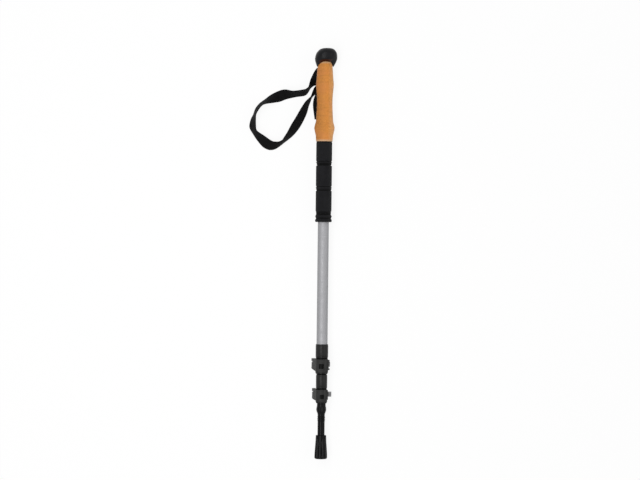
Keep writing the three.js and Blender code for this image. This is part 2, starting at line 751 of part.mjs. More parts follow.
// Where the strap's slot begins and ends along the pole
const slotHalf = strap.pinRadius + gap.turn + strap.thickness + gap.seat;
const wedgeStart = slotX - slotHalf - strap.wedgeLength - gap.seat;

// The slot for the strap and its wedge, cut through whatever piece holds it
function strapSlot() {
  const halfWidth = strap.width * HALF + strap.slotMargin;
  const top = slotHalf - strap.pinDepth;
  const webbing = block([slotX - slotHalf, -halfWidth, groundZ - OVERRUN], [slotX + slotHalf, halfWidth, top]);
  const wedge = block(
    [wedgeStart - gap.seat, -halfWidth, groundZ - OVERRUN],
    [slotX, halfWidth, -head.neckRadius + strap.wedgeDepth * HALF + gap.seat]);
  return webbing.add(wedge);
}

// Cork handle: a turned shape that swells towards the fingers
function corkGrip() {
  const sides = ROUND;
  const rings = smoothOutline(corkShares, CORK_STEPS, (share, radius) => {
    const x = corkStart + grip.corkLength * share;
    const r = grip.corkRadius * radius;
    const lift = corkFrontShare * HALF;
    return ring(sides, () => x, () => r)
      .map(([px, py, pz]) => [px, py, pz * (1 + lift) + r * lift]);
  });
  const inner = tubes.upperRadius + gap.fixed;
  const neck = head.neckRadius + gap.fixed;
  const bore = turnedSolid([
    [corkStart - OVERRUN, inner],
    [upperTubeEnd, inner],
    [upperTubeEnd, neck],
    [corkEnd + OVERRUN, neck],
  ]);
  return lofted(rings).subtract(bore).subtract(strapSlot());
}

// Head: the dome, its hollow underside round the cork, the neck and the stem in the tube
function headCap() {
  const h = head;
  const sides = ROUND + 4;
  const rimAt = (angle) => headRim + h.rimRiseHeight * Math.sin(angle) ** 2;
  const fullness = (angle, share) => 1 + share * Math.max(0, Math.sin(angle));
  const dome = smoothOutline(domeShares, DOME_STEPS, (share, radius) => ring(
    sides,
    (angle) => rimAt(angle) + (headTop - rimAt(angle)) * share,
    (angle) => h.radius * Math.min(1, radius) * fullness(angle, h.frontShare))
    .map(([x, y, z]) => [x, y - h.rimOffset - h.leanOffset * share, z]));
  const neckTop = corkEnd + gap.seat;
  const corkAt = (x) => grip.corkRadius * readTable(corkShares, (x - corkStart) / grip.corkLength);
  const hollowSteps = 4;
  const hollow = Array.from({ length: hollowSteps + 1 }, (_, i) => {
    const stationAt = (angle) => neckTop + ((rimAt(angle) - h.lipDepth - neckTop) * i) / hollowSteps;
    return ring(sides, stationAt, (angle) =>
      corkAt(stationAt(angle)) * fullness(angle, corkFrontShare) + h.hollowGap);
  });
  const neck = ring(sides, () => neckTop, () => h.neckRadius);
  const stem = turnedSolid([
    [stemStart, tubes.upperBore - gap.fixed - gap.seat],
    [stemStart + gap.seat, tubes.upperBore - gap.fixed],
    [upperTubeEnd + gap.fixed, tubes.upperBore - gap.fixed],
    [upperTubeEnd + gap.fixed, h.neckRadius],
    [neckTop + OVERRUN, h.neckRadius],
  ], sides);
  const pinHole = rodY(-h.radius, h.radius, strap.pinRadius + gap.slide, slotX, -strap.pinDepth)
    .intersect(rodX(wedgeStart, headTop, h.neckRadius - gap.seat, 0, 0));
  return lofted([neck, ...hollow, ...dome]).add(stem).subtract(strapSlot()).subtract(pinHole);
}

// Cross pin that the webbing goes round
function strapPin() {
  const reach = Math.sqrt((head.neckRadius - gap.seat) ** 2 - (strap.pinDepth + strap.pinRadius) ** 2);
  const half = Math.max(reach, strap.width * HALF) - gap.seat;
  return rodY(-half, half, strap.pinRadius, slotX, -strap.pinDepth);
}

// Wedge that jams the webbing in the slot
function strapWedge() {
  const half = strap.width * HALF;
  const top = -head.neckRadius + strap.wedgeDepth * HALF;
  const low = top - strap.wedgeDepth;
  const end = wedgeStart + strap.wedgeLength;
  const side = new THREE.Shape([
    [wedgeStart, low], [end - strap.wedgeTaper, low], [end, top], [wedgeStart, top],
  ].map(([x, z]) => new THREE.Vector2(x, z)));
  const geometry = new THREE.ExtrudeGeometry(side, { depth: 2 * half, bevelEnabled: false });
  return solid(geometry.applyMatrix4(along(AXIS_X, AXIS_Z, AXIS_Y.clone().negate())).translate(0, half, 0));
}

// Height of the middle of webbing that lies flat on a number of other layers
function layerZ(layers) {
  const pitch = strap.thickness + strap.layerGap;
  return groundZ + strap.tableGap + strap.thickness * HALF + layers * pitch;
}

// Band of webbing swept through sections of points across its width, outer edge first
function webbing(sections) {
  const half = strap.thickness * HALF;
  const rings = sections.map(({ points, normals }) => {
    const top = points.map((p, i) => p.clone().addScaledVector(normals[i], half).toArray());
    const under = points.map((p, i) => p.clone().addScaledVector(normals[i], -half).toArray());
    return [...top, ...under.reverse()];
  });
  return lofted(rings);
}

// The loop that goes round the wrist, lying on the table
function wristStrap() {
  const across = 3;
  const columns = strapStationShares[0].map((_, column) =>
    new THREE.CatmullRomCurve3(strapStationShares.map((row, i) => new THREE.Vector3(row[column], i, 0))));
  const sections = Array.from({ length: strap.steps + 1 }, (_, step) => {
    const row = columns.map((curve) => curve.getPoint(step / strap.steps).x);
    const [outDown, outSide, inDown, inSide, outSlope, inSlope, layers] = row;
    const origin = slotX;
    const outer = new THREE.Vector2(origin - outDown * strap.loopLength, outSide * strap.loopLength);
    const inner = new THREE.Vector2(origin - inDown * strap.loopLength, inSide * strap.loopLength);
    const reach = inner.clone().sub(outer);
    const heading = reach.clone().normalize();
    const slopes = Array.from({ length: across }, (_, i) =>
      ((outSlope + ((inSlope - outSlope) * (i + HALF)) / across) * TURN) / 4);
    const run = slopes.reduce((sum, slope) => sum + Math.cos(slope), 0);
    const piece = strap.width / across;
    const flat = [0];
    const rise = [0];
    slopes.forEach((slope, i) => {
      flat.push(flat[i] + (reach.length() * Math.cos(slope)) / run);
      rise.push(rise[i] + piece * Math.sin(slope));
    });
    const base = layerZ(Math.max(0, layers)) - Math.min(...rise);
    const points = flat.map((d, i) => new THREE.Vector3(
      outer.x + heading.x * d, outer.y + heading.y * d, base + rise[i]));
    const edgeSlopes = [slopes[0], ...slopes.slice(1).map((s, i) => (s + slopes[i]) * HALF), slopes[across - 1]];
    const normals = edgeSlopes.map((slope) => new THREE.Vector3(
      -heading.x * Math.sin(slope), -heading.y * Math.sin(slope), Math.cos(slope)));
    return { points, normals };
  });
  return webbing(sections.reverse());
}

// Points on an arc round (x, z), between two angles
function arcPoints(x, z, radius, from, to, steps) {
  return Array.from({ length: steps + 1 }, (_, i) => {
    const angle = from + ((to - from) * i) / steps;
    return [x + radius * Math.cos(angle), z + radius * Math.sin(angle), 0];
  });
}

// The end of the webbing: from its loose tail on the table up into the slot, round the pin and out
function strapTail() {
  const turn = strap.pinRadius + gap.turn + strap.thickness * HALF;
  const near = slotX - turn;
  const far = slotX + turn;
  const bend = strap.bendRadius;
  const start = far - bend;
  const steps = 4;
  const path = tailShiftShares.map(([at, shift]) => [
    start - strap.tailLength * (1 - at), layerZ(0), strap.width * shift]);
  path.push(...arcPoints(start, layerZ(0) + bend, bend, -TURN / 4, 0, steps));
  path.push(...arcPoints(slotX, -strap.pinDepth, turn, 0, TURN / 2, 2 * steps));
  path.push(...arcPoints(near - bend, layerZ(2) + bend, bend, 0, -TURN / 4, steps));
  const half = strap.width * HALF;
  const sections = path.map(([x, z, y], i) => {
    const [ax, az, ay] = path[Math.max(0, i - 1)];
    const [bx, bz, by] = path[Math.min(path.length - 1, i + 1)];
    const heading = new THREE.Vector3(bx - ax, by - ay, bz - az).normalize();
    const side = new THREE.Vector3(-heading.y, Math.hypot(heading.x, heading.z), 0).normalize();
    const normal = heading.clone().cross(side).normalize();
    const points = [side.clone().multiplyScalar(half), side.clone().multiplyScalar(-half)]
      .map((offset) => offset.add(new THREE.Vector3(x, y, z)));
    return { points, normals: [normal, normal] };
  });
  return webbing(sections);
}

// Tip and lower section
add('tip_protector', tipProtector(), 'rubber');
add('tip_ferrule', tipFerrule(), 'blackPlastic');
add('carbide_tip', carbideTip(), 'carbide');

const lowerStart = ferrule.length + gap.fixed;
const lowerEnd = lowerStart + tubes.lowerLength;
add('lower_tube', turnedTube(lowerStart, lowerEnd, tubes.lowerBore, tubes.lowerRadius), 'darkTube');
add('lower_tube_plug', guidePlug(lowerEnd, tubes.lowerBore, tubes.middleBore), 'blackPlastic');

// Locks
const lowerLock = lockSizes(lowerLockStart, lowerClamp, tubes.lowerRadius, tubes.middleRadius);
const upperLock = lockSizes(upperLockStart, upperClamp, tubes.middleRadius, tubes.upperRadius);
for (const [prefix, sizes] of [['lower', lowerLock], ['upper', upperLock]]) {
  add(`${prefix}_lock_sleeve`, lockSleeve(sizes), 'blackPlastic');
  add(`${prefix}_clamp_collar`, lockCollar(sizes), 'greyPlastic');
  add(`${prefix}_lock_lever`, lockLever(sizes), 'greyPlastic');
  add(`${prefix}_cam_pin`, camPin(sizes), 'steel');
  add(`${prefix}_tension_bolt`, tensionBolt(sizes), 'steel');
  add(`${prefix}_cam_saddle`, camSaddle(sizes), 'steel');
  add(`${prefix}_thumb_nut`, thumbNut(sizes), 'steel');
}

// Middle and upper sections
add('middle_tube', turnedTube(middleStart, middleEnd, tubes.middleBore, tubes.middleRadius), 'darkTube');
add('middle_tube_plug', guidePlug(middleEnd, tubes.middleBore, tubes.upperBore), 'blackPlastic');
const upperStart = upperLock.tubeSeat + gap.fixed;
add('upper_tube', turnedTube(upperStart, upperTubeEnd, tubes.upperBore, tubes.upperRadius), 'aluminium');

// Grip, head and strap
const foamBodyStart = foamStart + grip.endRingLength + gap.fixed;
add('foam_end_ring', foamEndRing(foamStart), 'foam');
add('foam_grip', foamGrip(foamBodyStart, corkStart - gap.fixed), 'foam');
add('cork_grip', corkGrip(), 'cork');
add('head_cap', headCap(), 'rubber');
add('strap_pin', strapPin(), 'steel');
add('strap_wedge', strapWedge(), 'blackPlastic');
add('wrist_strap', wristStrap(), 'webbing');
add('strap_tail', strapTail(), 'webbing');

export default pole;
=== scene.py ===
import json
import logging
import math
from dataclasses import dataclass, field
from enum import Enum
from typing import Callable, Sequence

import bmesh
import bpy
from mathutils import Matrix, Vector


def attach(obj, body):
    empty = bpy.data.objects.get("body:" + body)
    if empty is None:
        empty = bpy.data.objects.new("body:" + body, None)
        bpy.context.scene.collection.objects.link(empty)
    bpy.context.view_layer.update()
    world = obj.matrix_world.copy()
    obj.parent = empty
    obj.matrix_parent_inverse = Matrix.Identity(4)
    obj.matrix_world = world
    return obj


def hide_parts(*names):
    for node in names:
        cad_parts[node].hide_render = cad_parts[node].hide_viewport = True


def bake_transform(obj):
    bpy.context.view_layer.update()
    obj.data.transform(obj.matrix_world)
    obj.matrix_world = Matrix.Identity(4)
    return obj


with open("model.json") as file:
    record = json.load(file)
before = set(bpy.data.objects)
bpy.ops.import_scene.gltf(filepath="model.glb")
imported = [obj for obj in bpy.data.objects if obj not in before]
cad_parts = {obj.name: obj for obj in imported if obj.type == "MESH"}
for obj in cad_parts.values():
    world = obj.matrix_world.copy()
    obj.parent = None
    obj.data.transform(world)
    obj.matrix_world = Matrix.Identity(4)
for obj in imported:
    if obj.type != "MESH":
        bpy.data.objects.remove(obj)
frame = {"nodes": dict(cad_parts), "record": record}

LOG = logging.getLogger("pole")
MM = 0.001
FULL_TURN = 2 * math.pi
# The height of the table, and how far a cutter runs past what it cuts
GROUND_Z = -18.15
OVERRUN = 1.0
# Edges sharper than this are shown as creases, and edges sharper than the second get a worn rounding
CREASE = math.radians(38)
WORN = math.radians(32)
# The middle of the strap's slot, its half length and half width, and the height of the pin across it
SLOT_X = 644.0
SLOT_HALF_LENGTH = 4.05
SLOT_HALF_WIDTH = 9.4
PIN_Z = -4.0
# Where the seat of the strap's wedge begins, and its ceiling
WEDGE_START = 636.35
WEDGE_TOP = -5.15

Shape = bmesh.types.BMesh
Outline = Sequence[tuple[float, float]]


# ---------------------------------------------------------------- shapes

class Carving(Enum):
    """How one shape works on another."""

    JOIN = "UNION"
    CUT = "DIFFERENCE"
    KEEP = "INTERSECT"


def read_rows(rows: Sequence[Sequence[float]], share: float) -> list[float]:
    """Read a smooth curve through rows of values.

    Args:
        rows: Values that the curve passes through, evenly spaced along it.
        share: How far along the curve, from 0 to 1.

    Returns:
        The values at that place.
    """
    last = len(rows) - 1
    place = min(max(share, 0.0), 1.0) * last
    step = min(int(place), last - 1)
    w = place - step
    near = [rows[min(max(step + k, 0), last)] for k in (-1, 0, 1, 2)]
    return [
        0.5 * (2 * b + (c - a) * w + (2 * a - 5 * b + 4 * c - d) * w**2 + (3 * b - a - 3 * c + d) * w**3)
        for a, b, c, d in zip(*near)
    ]


def smooth_through(points: Outline, steps: int) -> list[tuple[float, float]]:
    """Lay a smooth outline through points.

    Args:
        points: Station and radius pairs.
        steps: How many straight steps the curve gets.

    Returns:
        The denser outline.
    """
    return [tuple(read_rows(points, i / steps)) for i in range(steps + 1)]


def turned(outline: Outline, sides: int, closed: bool = False) -> Shape:
    """Turn an outline once round the X axis.

    Args:
        outline: Station and radius pairs.
        sides: Steps of the full turn.
        closed: Whether the last point joins the first, as in a tube's wall.

    Returns:
        The turned shape.
    """
    shape = bmesh.new()
    verts = [shape.verts.new((x, radius, 0.0)) for x, radius in outline]
    ends = verts[1:] + (verts[:1] if closed else [])
    edges = [shape.edges.new(pair) for pair in zip(verts, ends)]
    bmesh.ops.spin(shape, geom=verts + edges, cent=(0, 0, 0), axis=(1, 0, 0), dvec=(0, 0, 0),
                   angle=FULL_TURN, steps=sides, use_merge=True)
    bmesh.ops.remove_doubles(shape, verts=shape.verts, dist=1e-4)
    bmesh.ops.recalc_face_normals(shape, faces=shape.faces)
    return shape


def reshaped(shape: Shape, rule: Callable[[float, float, float], tuple[float, float, float]]) -> Shape:
    """Move every vertex of a turned shape.

    Args:
        shape: The turned shape.
        rule: Gives the new place from a station, an angle round X and a radius.

    Returns:
        The same shape, moved.
    """
    for vert in shape.verts:
        x, y, z = vert.co
        vert.co = rule(x, math.atan2(z, y), math.hypot(y, z))
    return shape


def rod(start: float, end: float, radius: float, sides: int = 48, edge: float = 0.0) -> Shape:
    """Make a round bar along X.

    Args:
        start: Station of one end.
        end: Station of the other end.
        radius: Radius of the bar.
        sides: Steps round it.
        edge: Chamfer of both ends.

    Returns:
        The bar.
    """
    return turned([(start, 0), (start, radius - edge), (start + edge, radius), (end - edge, radius),
                   (end, radius - edge), (end, 0)] if edge else
                  [(start, 0), (start, radius), (end, radius), (end, 0)], sides)


def across(shape: Shape, x: float, z: float) -> Shape:
    """Turn a shape made along X so that its stations run along Y, and set it at a place."""
    bmesh.ops.rotate(shape, verts=shape.verts, cent=(0, 0, 0), matrix=Matrix.Rotation(math.pi / 2, 3, "Z"))
    bmesh.ops.translate(shape, verts=shape.verts, vec=(x, 0, z))
    return shape


def set_at(shape: Shape, y: float, z: float) -> Shape:
    """Move a shape made along X off the pole's axis."""
    bmesh.ops.translate(shape, verts=shape.verts, vec=(0, y, z))
    return shape


def block(low: Sequence[float], high: Sequence[float]) -> Shape:
    """Make a box between two corners.

    Args:
        low: Lowest corner.
        high: Highest corner.

    Returns:
        The box.
    """
    shape = bmesh.new()
    bmesh.ops.create_cube(shape, size=1.0)
    bmesh.ops.scale(shape, verts=shape.verts, vec=[h - l for l, h in zip(low, high)])
    bmesh.ops.translate(shape, verts=shape.verts, vec=[(h + l) / 2 for l, h in zip(low, high)])
    return shape


def rounded(shape: Shape, radius: float, chosen: Callable[[Vector], bool], segments: int = 4) -> Shape:
    """Round the edges of a shape that run a chosen way.

    Args:
        shape: The shape.
        radius: Radius of the rounding.
        chosen: Says from an edge's direction whether it is rounded.
        segments: Steps of the rounding.

    Returns:
        The same shape, rounded.
    """
    edges = [e for e in shape.edges if chosen((e.verts[1].co - e.verts[0].co).normalized())]
    bmesh.ops.bevel(shape, geom=edges, offset=radius, offset_type="OFFSET", segments=segments,
                    profile=0.5, affect="EDGES", material=-1, clamp_overlap=True)
    return shape


def extruded(outline: Sequence[Vector], reach: Vector) -> Shape:
    """Extrude a flat outline.

    Args:
        outline: Corners of the outline.
        reach: How far and which way it is extruded.

    Returns:
        The prism.
    """
    shape = bmesh.new()
    face = shape.faces.new([shape.verts.new(point) for point in outline])
    made = bmesh.ops.extrude_face_region(shape, geom=[face])["geom"]
    bmesh.ops.translate(shape, verts=[v for v in made if isinstance(v, bmesh.types.BMVert)], vec=reach)
    if len(shape.faces) < len(outline) + 2:
        bmesh.ops.holes_fill(shape, edges=shape.edges, sides=0)
    bmesh.ops.recalc_face_normals(shape, faces=shape.faces)
    return shape


def mark_faces(shape: Shape, mark: str, rule: Callable[[Vector], float]) -> Shape:
    """Note on each face how far something holds there, which its finish shows.

    Args:
        shape: The shape in millimetres.
        mark: What is noted: one layer of painted shade for gaps, grooves and hollows, and one of painted highlight
            for lit ribs and the lever's wing.
        rule: Gives the share from 0 to 1 at a face's middle.

    Returns:
        The same shape, marked.
    """
    layer = shape.faces.layers.float.get(mark) or shape.faces.layers.float.new(mark)
    for face in shape.faces:
        face[layer] = min(1.0, max(0.0, rule(face.calc_center_median())))
    return shape


def in_order(shape: Shape) -> Shape:
    """Number points, edges and faces by their places, so that every run gives the same mesh.

    Args:
        shape: The shape in millimetres.

    Returns:
        The same shape, numbered.
    """
    for index, vert in enumerate(sorted(shape.verts, key=lambda vert: vert.co.to_tuple(5))):
        vert.index = index
    shape.verts.sort()
    for index, edge in enumerate(sorted(shape.edges, key=lambda edge: sorted(vert.index for vert in edge.verts))):
        edge.index = index
    shape.edges.sort()
    for index, face in enumerate(sorted(shape.faces, key=lambda face: sorted(vert.index for vert in face.verts))):
        face.index = index
    shape.faces.sort()
    return shape


def workpiece(shape: Shape) -> bpy.types.Object:
    """Put a shape on the bench as a passing object, and let the shape go."""
    in_order(shape)
    mesh = bpy.data.meshes.new("workpiece")
    shape.to_mesh(mesh)
    shape.free()
    obj = bpy.data.objects.new("workpiece", mesh)
    bpy.context.scene.collection.objects.link(obj)
    return obj


def carved(body: Shape, tool: Shape, how: Carving) -> Shape:
    """Join, cut or trim one shape with another.

    Args:
        body: The shape that is worked on.
        tool: The shape that works on it.
        how: What is done.

    Returns:
        The new shape.
    """
    target, cutter = workpiece(body), workpiece(tool)
    modifier = target.modifiers.new("carving", "BOOLEAN")
    modifier.operation = how.value
    modifier.solver = "MANIFOLD"
    modifier.object = cutter
    bpy.context.view_layer.update()
    result = bmesh.new()
    result.from_object(target, bpy.context.evaluated_depsgraph_get())
    for obj in (target, cutter):
        mesh = obj.data
        bpy.data.objects.remove(obj)
        bpy.data.meshes.remove(mesh)
    bmesh.ops.remove_doubles(result, verts=result.verts, dist=1e-4)
    bmesh.ops.dissolve_degenerate(result, edges=result.edges, dist=1e-4)
    return result


# ---------------------------------------------------------------- materials

class NodeDesk:
    """Adds and links the nodes of one material or group."""

    def __init__(self, tree: bpy.types.NodeTree) -> None:
        """Take a node tree to work on."""
        self.tree = tree
        self.column = 0

    def add(self, kind: str, **settings: object) -> bpy.types.Node:
        """Add a node.

        Args:
            kind: The node's type.
            settings: Its properties, and its inputs by name with spaces as underscores.

        Returns:
            The node.
        """
        node = self.tree.nodes.new(kind)
        node.location = (self.column * 190, 0)
        self.column += 1
        for key, value in settings.items():
            name = key.replace("_", " ")
            if name in node.inputs:
                if isinstance(value, bpy.types.NodeSocket):
                    self.tree.links.new(value, node.inputs[name])
                else:
                    node.inputs[name].default_value = value
            else:
                setattr(node, key, value)
        return node

    def link(self, out: bpy.types.NodeSocket, into: bpy.types.NodeSocket) -> None:
        """Link one socket to another."""
        self.tree.links.new(out, into)

    def sum_up(self, operation: str, *values: object) -> bpy.types.NodeSocket:
        """Add a Math node.

        Args:
            operation: What it works out.
            values: Numbers or sockets.

        Returns:
            Its result.
        """
        node = self.add("ShaderNodeMath", operation=operation)
        for i, value in enumerate(values):
            if isinstance(value, bpy.types.NodeSocket):
                self.link(value, node.inputs[i])
            else:
                node.inputs[i].default_value = value
        return node.outputs[0]

    def ramp(self, value: bpy.types.NodeSocket, stops: Sequence[tuple[float, Sequence[float]]]
             ) -> bpy.types.NodeSocket:
        """Turn a value into a colour.

        Args:
            value: The value.
            stops: Places from 0 to 1 and their colours.

        Returns:
            The colour.
        """
        node = self.add("ShaderNodeValToRGB", Fac=value)
        elements = node.color_ramp.elements
        while len(elements) < len(stops):
            elements.new(1.0)
        for element, (place, color) in zip(elements, stops):
            element.position = place
            element.color = (*color, 1.0)
        return node.outputs["Color"]

    def spread(self, value: bpy.types.NodeSocket, low: float, high: float,
               to_low: float, to_high: float) -> bpy.types.NodeSocket:
        """Map one span of values to another, held at its ends.

        Args:
            value: The value.
            low: Where the span starts.
            high: Where it ends.
            to_low: What its start becomes.
            to_high: What its end becomes.

        Returns:
            The mapped value.
        """
        node = self.add("ShaderNodeMapRange")
        for name, number in (("From Min", low), ("From Max", high), ("To Min", to_low), ("To Max", to_high)):
            node.inputs[name].default_value = number
        self.link(value, node.inputs["Value"])
        return node.outputs["Result"]

    def blend(self, factor: object, first: object, second: object, mode: str = "MIX") -> bpy.types.NodeSocket:
        """Mix two colours.

        Args:
            factor: Share of the second.
            first: A colour or a socket.
            second: A colour or a socket.
            mode: How they mix.

        Returns:
            The mixed colour.
        """
        node = self.add("ShaderNodeMix", data_type="RGBA", blend_type=mode)
        for place, value in ((0, factor), (6, first), (7, second)):
            if isinstance(value, bpy.types.NodeSocket):
                self.link(value, node.inputs[place])
            else:
                node.inputs[place].default_value = value if place == 0 else (*value, 1.0)
        return node.outputs[2]


def new_group(name: str, inputs: Sequence[tuple[str, str]], outputs: Sequence[tuple[str, str]]
              ) -> tuple[NodeDesk, bpy.types.Node, bpy.types.Node]:
    """Start a shared node group.

    Args:
        name: The group's name.
        inputs: Names and socket types that it takes.
        outputs: Names and socket types that it gives.

    Returns:
        A desk for its nodes, its input node and its output node.
    """
    tree = bpy.data.node_groups.new(name, "ShaderNodeTree")
    for way, sockets in (("INPUT", inputs), ("OUTPUT", outputs)):
        for label, kind in sockets:
            tree.interface.new_socket(name=label, in_out=way, socket_type=kind)
    desk = NodeDesk(tree)
    return desk, desk.add("NodeGroupInput"), desk.add("NodeGroupOutput")


def moulded_skin() -> bpy.types.NodeTree:
    """Shared effect: the fine grain, slow blotches and edge wear of a moulded or worn surface.

    Returns:
        A group with Place, Grain Scale and Blotch Scale in, and Height, Blotch and Wear out.
    """
    name = "Moulded Skin"
    if name in bpy.data.node_groups:
        return bpy.data.node_groups[name]
    desk, taken, given = new_group(
        name,
        [("Place", "NodeSocketVector"), ("Grain Scale", "NodeSocketFloat"), ("Blotch Scale", "NodeSocketFloat")],
        [("Height", "NodeSocketFloat"), ("Blotch", "NodeSocketFloat"), ("Wear", "NodeSocketFloat")])
    grain = desk.add("ShaderNodeTexNoise", Vector=taken.outputs["Place"], Scale=taken.outputs["Grain Scale"],
                     Detail=3.0, Roughness=0.6)
    blotch = desk.add("ShaderNodeTexNoise", Vector=taken.outputs["Place"], Scale=taken.outputs["Blotch Scale"],
                      Detail=4.0, Roughness=0.55)
    edges = desk.add("ShaderNodeNewGeometry")
    sharp = desk.spread(edges.outputs["Pointiness"], 0.52, 0.62, 0.0, 1.0)
    broken = desk.spread(grain.outputs["Fac"], 0.4, 0.7, 0.2, 1.0)
    desk.link(grain.outputs["Fac"], given.inputs["Height"])
    desk.link(desk.spread(blotch.outputs["Fac"], 0.3, 0.7, 0.0, 1.0), given.inputs["Blotch"])
    desk.link(desk.sum_up("MULTIPLY", sharp, broken), given.inputs["Wear"])
    return desk.tree


def drawn_streaks() -> bpy.types.NodeTree:
    """Shared effect: fine lines along the pole, as drawing and sliding leave on a tube.

    Returns:
        A group with Place in, and Streak and Scratch out.
    """
    name = "Drawn Streaks"
    if name in bpy.data.node_groups:
        return bpy.data.node_groups[name]
    desk, taken, given = new_group(
        name, [("Place", "NodeSocketVector")],
        [("Streak", "NodeSocketFloat"), ("Scratch", "NodeSocketFloat")])
    long_way = desk.add("ShaderNodeMapping", Vector=taken.outputs["Place"], Scale=(0.02, 1.0, 1.0))
    fine = desk.add("ShaderNodeTexNoise", Vector=long_way.outputs[0], Scale=1800.0, Detail=3.0, Roughness=0.7)
    round_way = desk.add("ShaderNodeMapping", Vector=taken.outputs["Place"], Scale=(1.0, 0.05, 0.05))
    rings = desk.add("ShaderNodeTexNoise", Vector=round_way.outputs[0], Scale=700.0, Detail=2.0, Roughness=0.6)
    desk.link(fine.outputs["Fac"], given.inputs["Streak"])
    desk.link(desk.spread(rings.outputs["Fac"], 0.62, 0.72, 0.0, 1.0), given.inputs["Scratch"])
    return desk.tree


@dataclass(frozen=True)
class Finish:
    """A finish of the pole, named for the record's material slot that it belongs to."""

    slot: str
    color: tuple[float, float, float]
    roughness: float

    def material(self) -> bpy.types.Material:
        """Give the finish's material, made at its first use."""
        name = f"finish_{self.slot}"
        if name in bpy.data.materials:
            return bpy.data.materials[name]
        material = bpy.data.materials.new(name)
        material.use_nodes = True
        material.diffuse_color = (*self.color, 1.0)
        material.node_tree.nodes.clear()
        desk = NodeDesk(material.node_tree)
        shader = desk.add("ShaderNodeBsdfPrincipled")
        self.dress(desk, shader)
        end = desk.add("ShaderNodeOutputMaterial")
        desk.link(shader.outputs["BSDF"], end.inputs["Surface"])
        return material

    def dress(self, desk: NodeDesk, shader: bpy.types.Node) -> None:
        """Wire the finish's own nodes to the shader."""
        raise NotImplementedError

    def tone(self, share: float) -> tuple[float, float, float]:
        """Give the finish's colour made lighter or darker."""
        return tuple(min(1.0, channel * share) for channel in self.color)

    @staticmethod
    def raise_bump(desk: NodeDesk, shader: bpy.types.Node, height: bpy.types.NodeSocket,
                   strength: float, depth: float) -> None:
        """Let a height stand out of the surface.

        Args:
            desk: The material's desk.
            shader: The shader that shows it.
            height: Height from 0 to 1.
            strength: Share of the effect.
            depth: Real height of the relief in millimetres.
        """
        bump = desk.add("ShaderNodeBump", Strength=strength, Distance=depth * MM, Height=height)
        desk.link(bump.outputs["Normal"], shader.inputs["Normal"])


@dataclass(frozen=True)
class MouldedFinish(Finish):
    """Moulded plastic or rubber with a fine grain, slow blotches and worn edges, a painted highlight where marked,
    and painted shade in gaps and hollows.
    """

    gloss: float = 0.5
    grain: float = 2600.0
    relief: float = 0.05
    wear: float = 1.8
    # Colour of the painted shade, and the tone of the painted highlight
    shade_color: tuple[float, float, float] = (0.001, 0.001, 0.001)
    highlight_tone: float = 1.6

    def dress(self, desk: NodeDesk, shader: bpy.types.Node) -> None:
        """Wire the moulded skin to the shader."""
        place = desk.add("ShaderNodeTexCoord").outputs["Object"]
        skin = desk.add("ShaderNodeGroup", node_tree=moulded_skin())
        desk.link(place, skin.inputs["Place"])
        skin.inputs["Grain Scale"].default_value = self.grain
        skin.inputs["Blotch Scale"].default_value = 130.0
        base = desk.blend(skin.outputs["Blotch"], self.tone(0.82), self.tone(1.22))
        # Where marked, the colour is lifted to a lighter tone: a painted highlight.
        wear_and_highlight = desk.add("ShaderNodeAttribute", attribute_name="wear_and_highlight").outputs["Fac"]
        highlighted = desk.blend(wear_and_highlight, base, self.tone(self.highlight_tone))
        worn = desk.blend(skin.outputs["Wear"], highlighted, self.tone(self.wear))
        # Where marked, the colour goes to a near-black or tinted tone: painted shade.
        painted_shade = desk.add("ShaderNodeAttribute", attribute_name="painted_shade").outputs["Fac"]
        desk.link(desk.blend(painted_shade, worn, self.shade_color), shader.inputs["Base Color"])
        rough = desk.spread(skin.outputs["Blotch"], 0.0, 1.0, self.roughness - 0.06, self.roughness + 0.07)
        desk.link(rough, shader.inputs["Roughness"])
        shader.inputs["Specular IOR Level"].default_value = self.gloss
        self.raise_bump(desk, shader, skin.outputs["Height"], 0.5, self.relief)


@dataclass(frozen=True)
class MetalFinish(Finish):
    """Drawn or turned metal with fine lines and a few scratches."""

    metallic: float = 1.0
    line: float = 0.12

    def dress(self, desk: NodeDesk, shader: bpy.types.Node) -> None:
        """Wire the drawn lines to the shader."""
        place = desk.add("ShaderNodeTexCoord").outputs["Object"]
        lines = desk.add("ShaderNodeGroup", node_tree=drawn_streaks())
        desk.link(place, lines.inputs["Place"])
        clouds = desk.add("ShaderNodeTexNoise", Vector=place, Scale=90.0, Detail=3.0)
        base = desk.blend(lines.outputs["Streak"], self.tone(1 - self.line), self.tone(1 + self.line))
        marked = desk.blend(lines.outputs["Scratch"], base, self.tone(1.12))
        # Where marked, the metal is darkened to a tenth of its colour: painted shade.
        painted_shade = desk.add("ShaderNodeAttribute", attribute_name="painted_shade").outputs["Fac"]
        desk.link(desk.blend(painted_shade, marked, self.tone(0.1)), shader.inputs["Base Color"])
        rough = desk.spread(clouds.outputs["Fac"], 0.3, 0.7, self.roughness - 0.05, self.roughness + 0.07)
        desk.link(rough, shader.inputs["Roughness"])
        shader.inputs["Metallic"].default_value = self.metallic
        self.raise_bump(desk, shader, lines.outputs["Streak"], 0.35, 0.012)


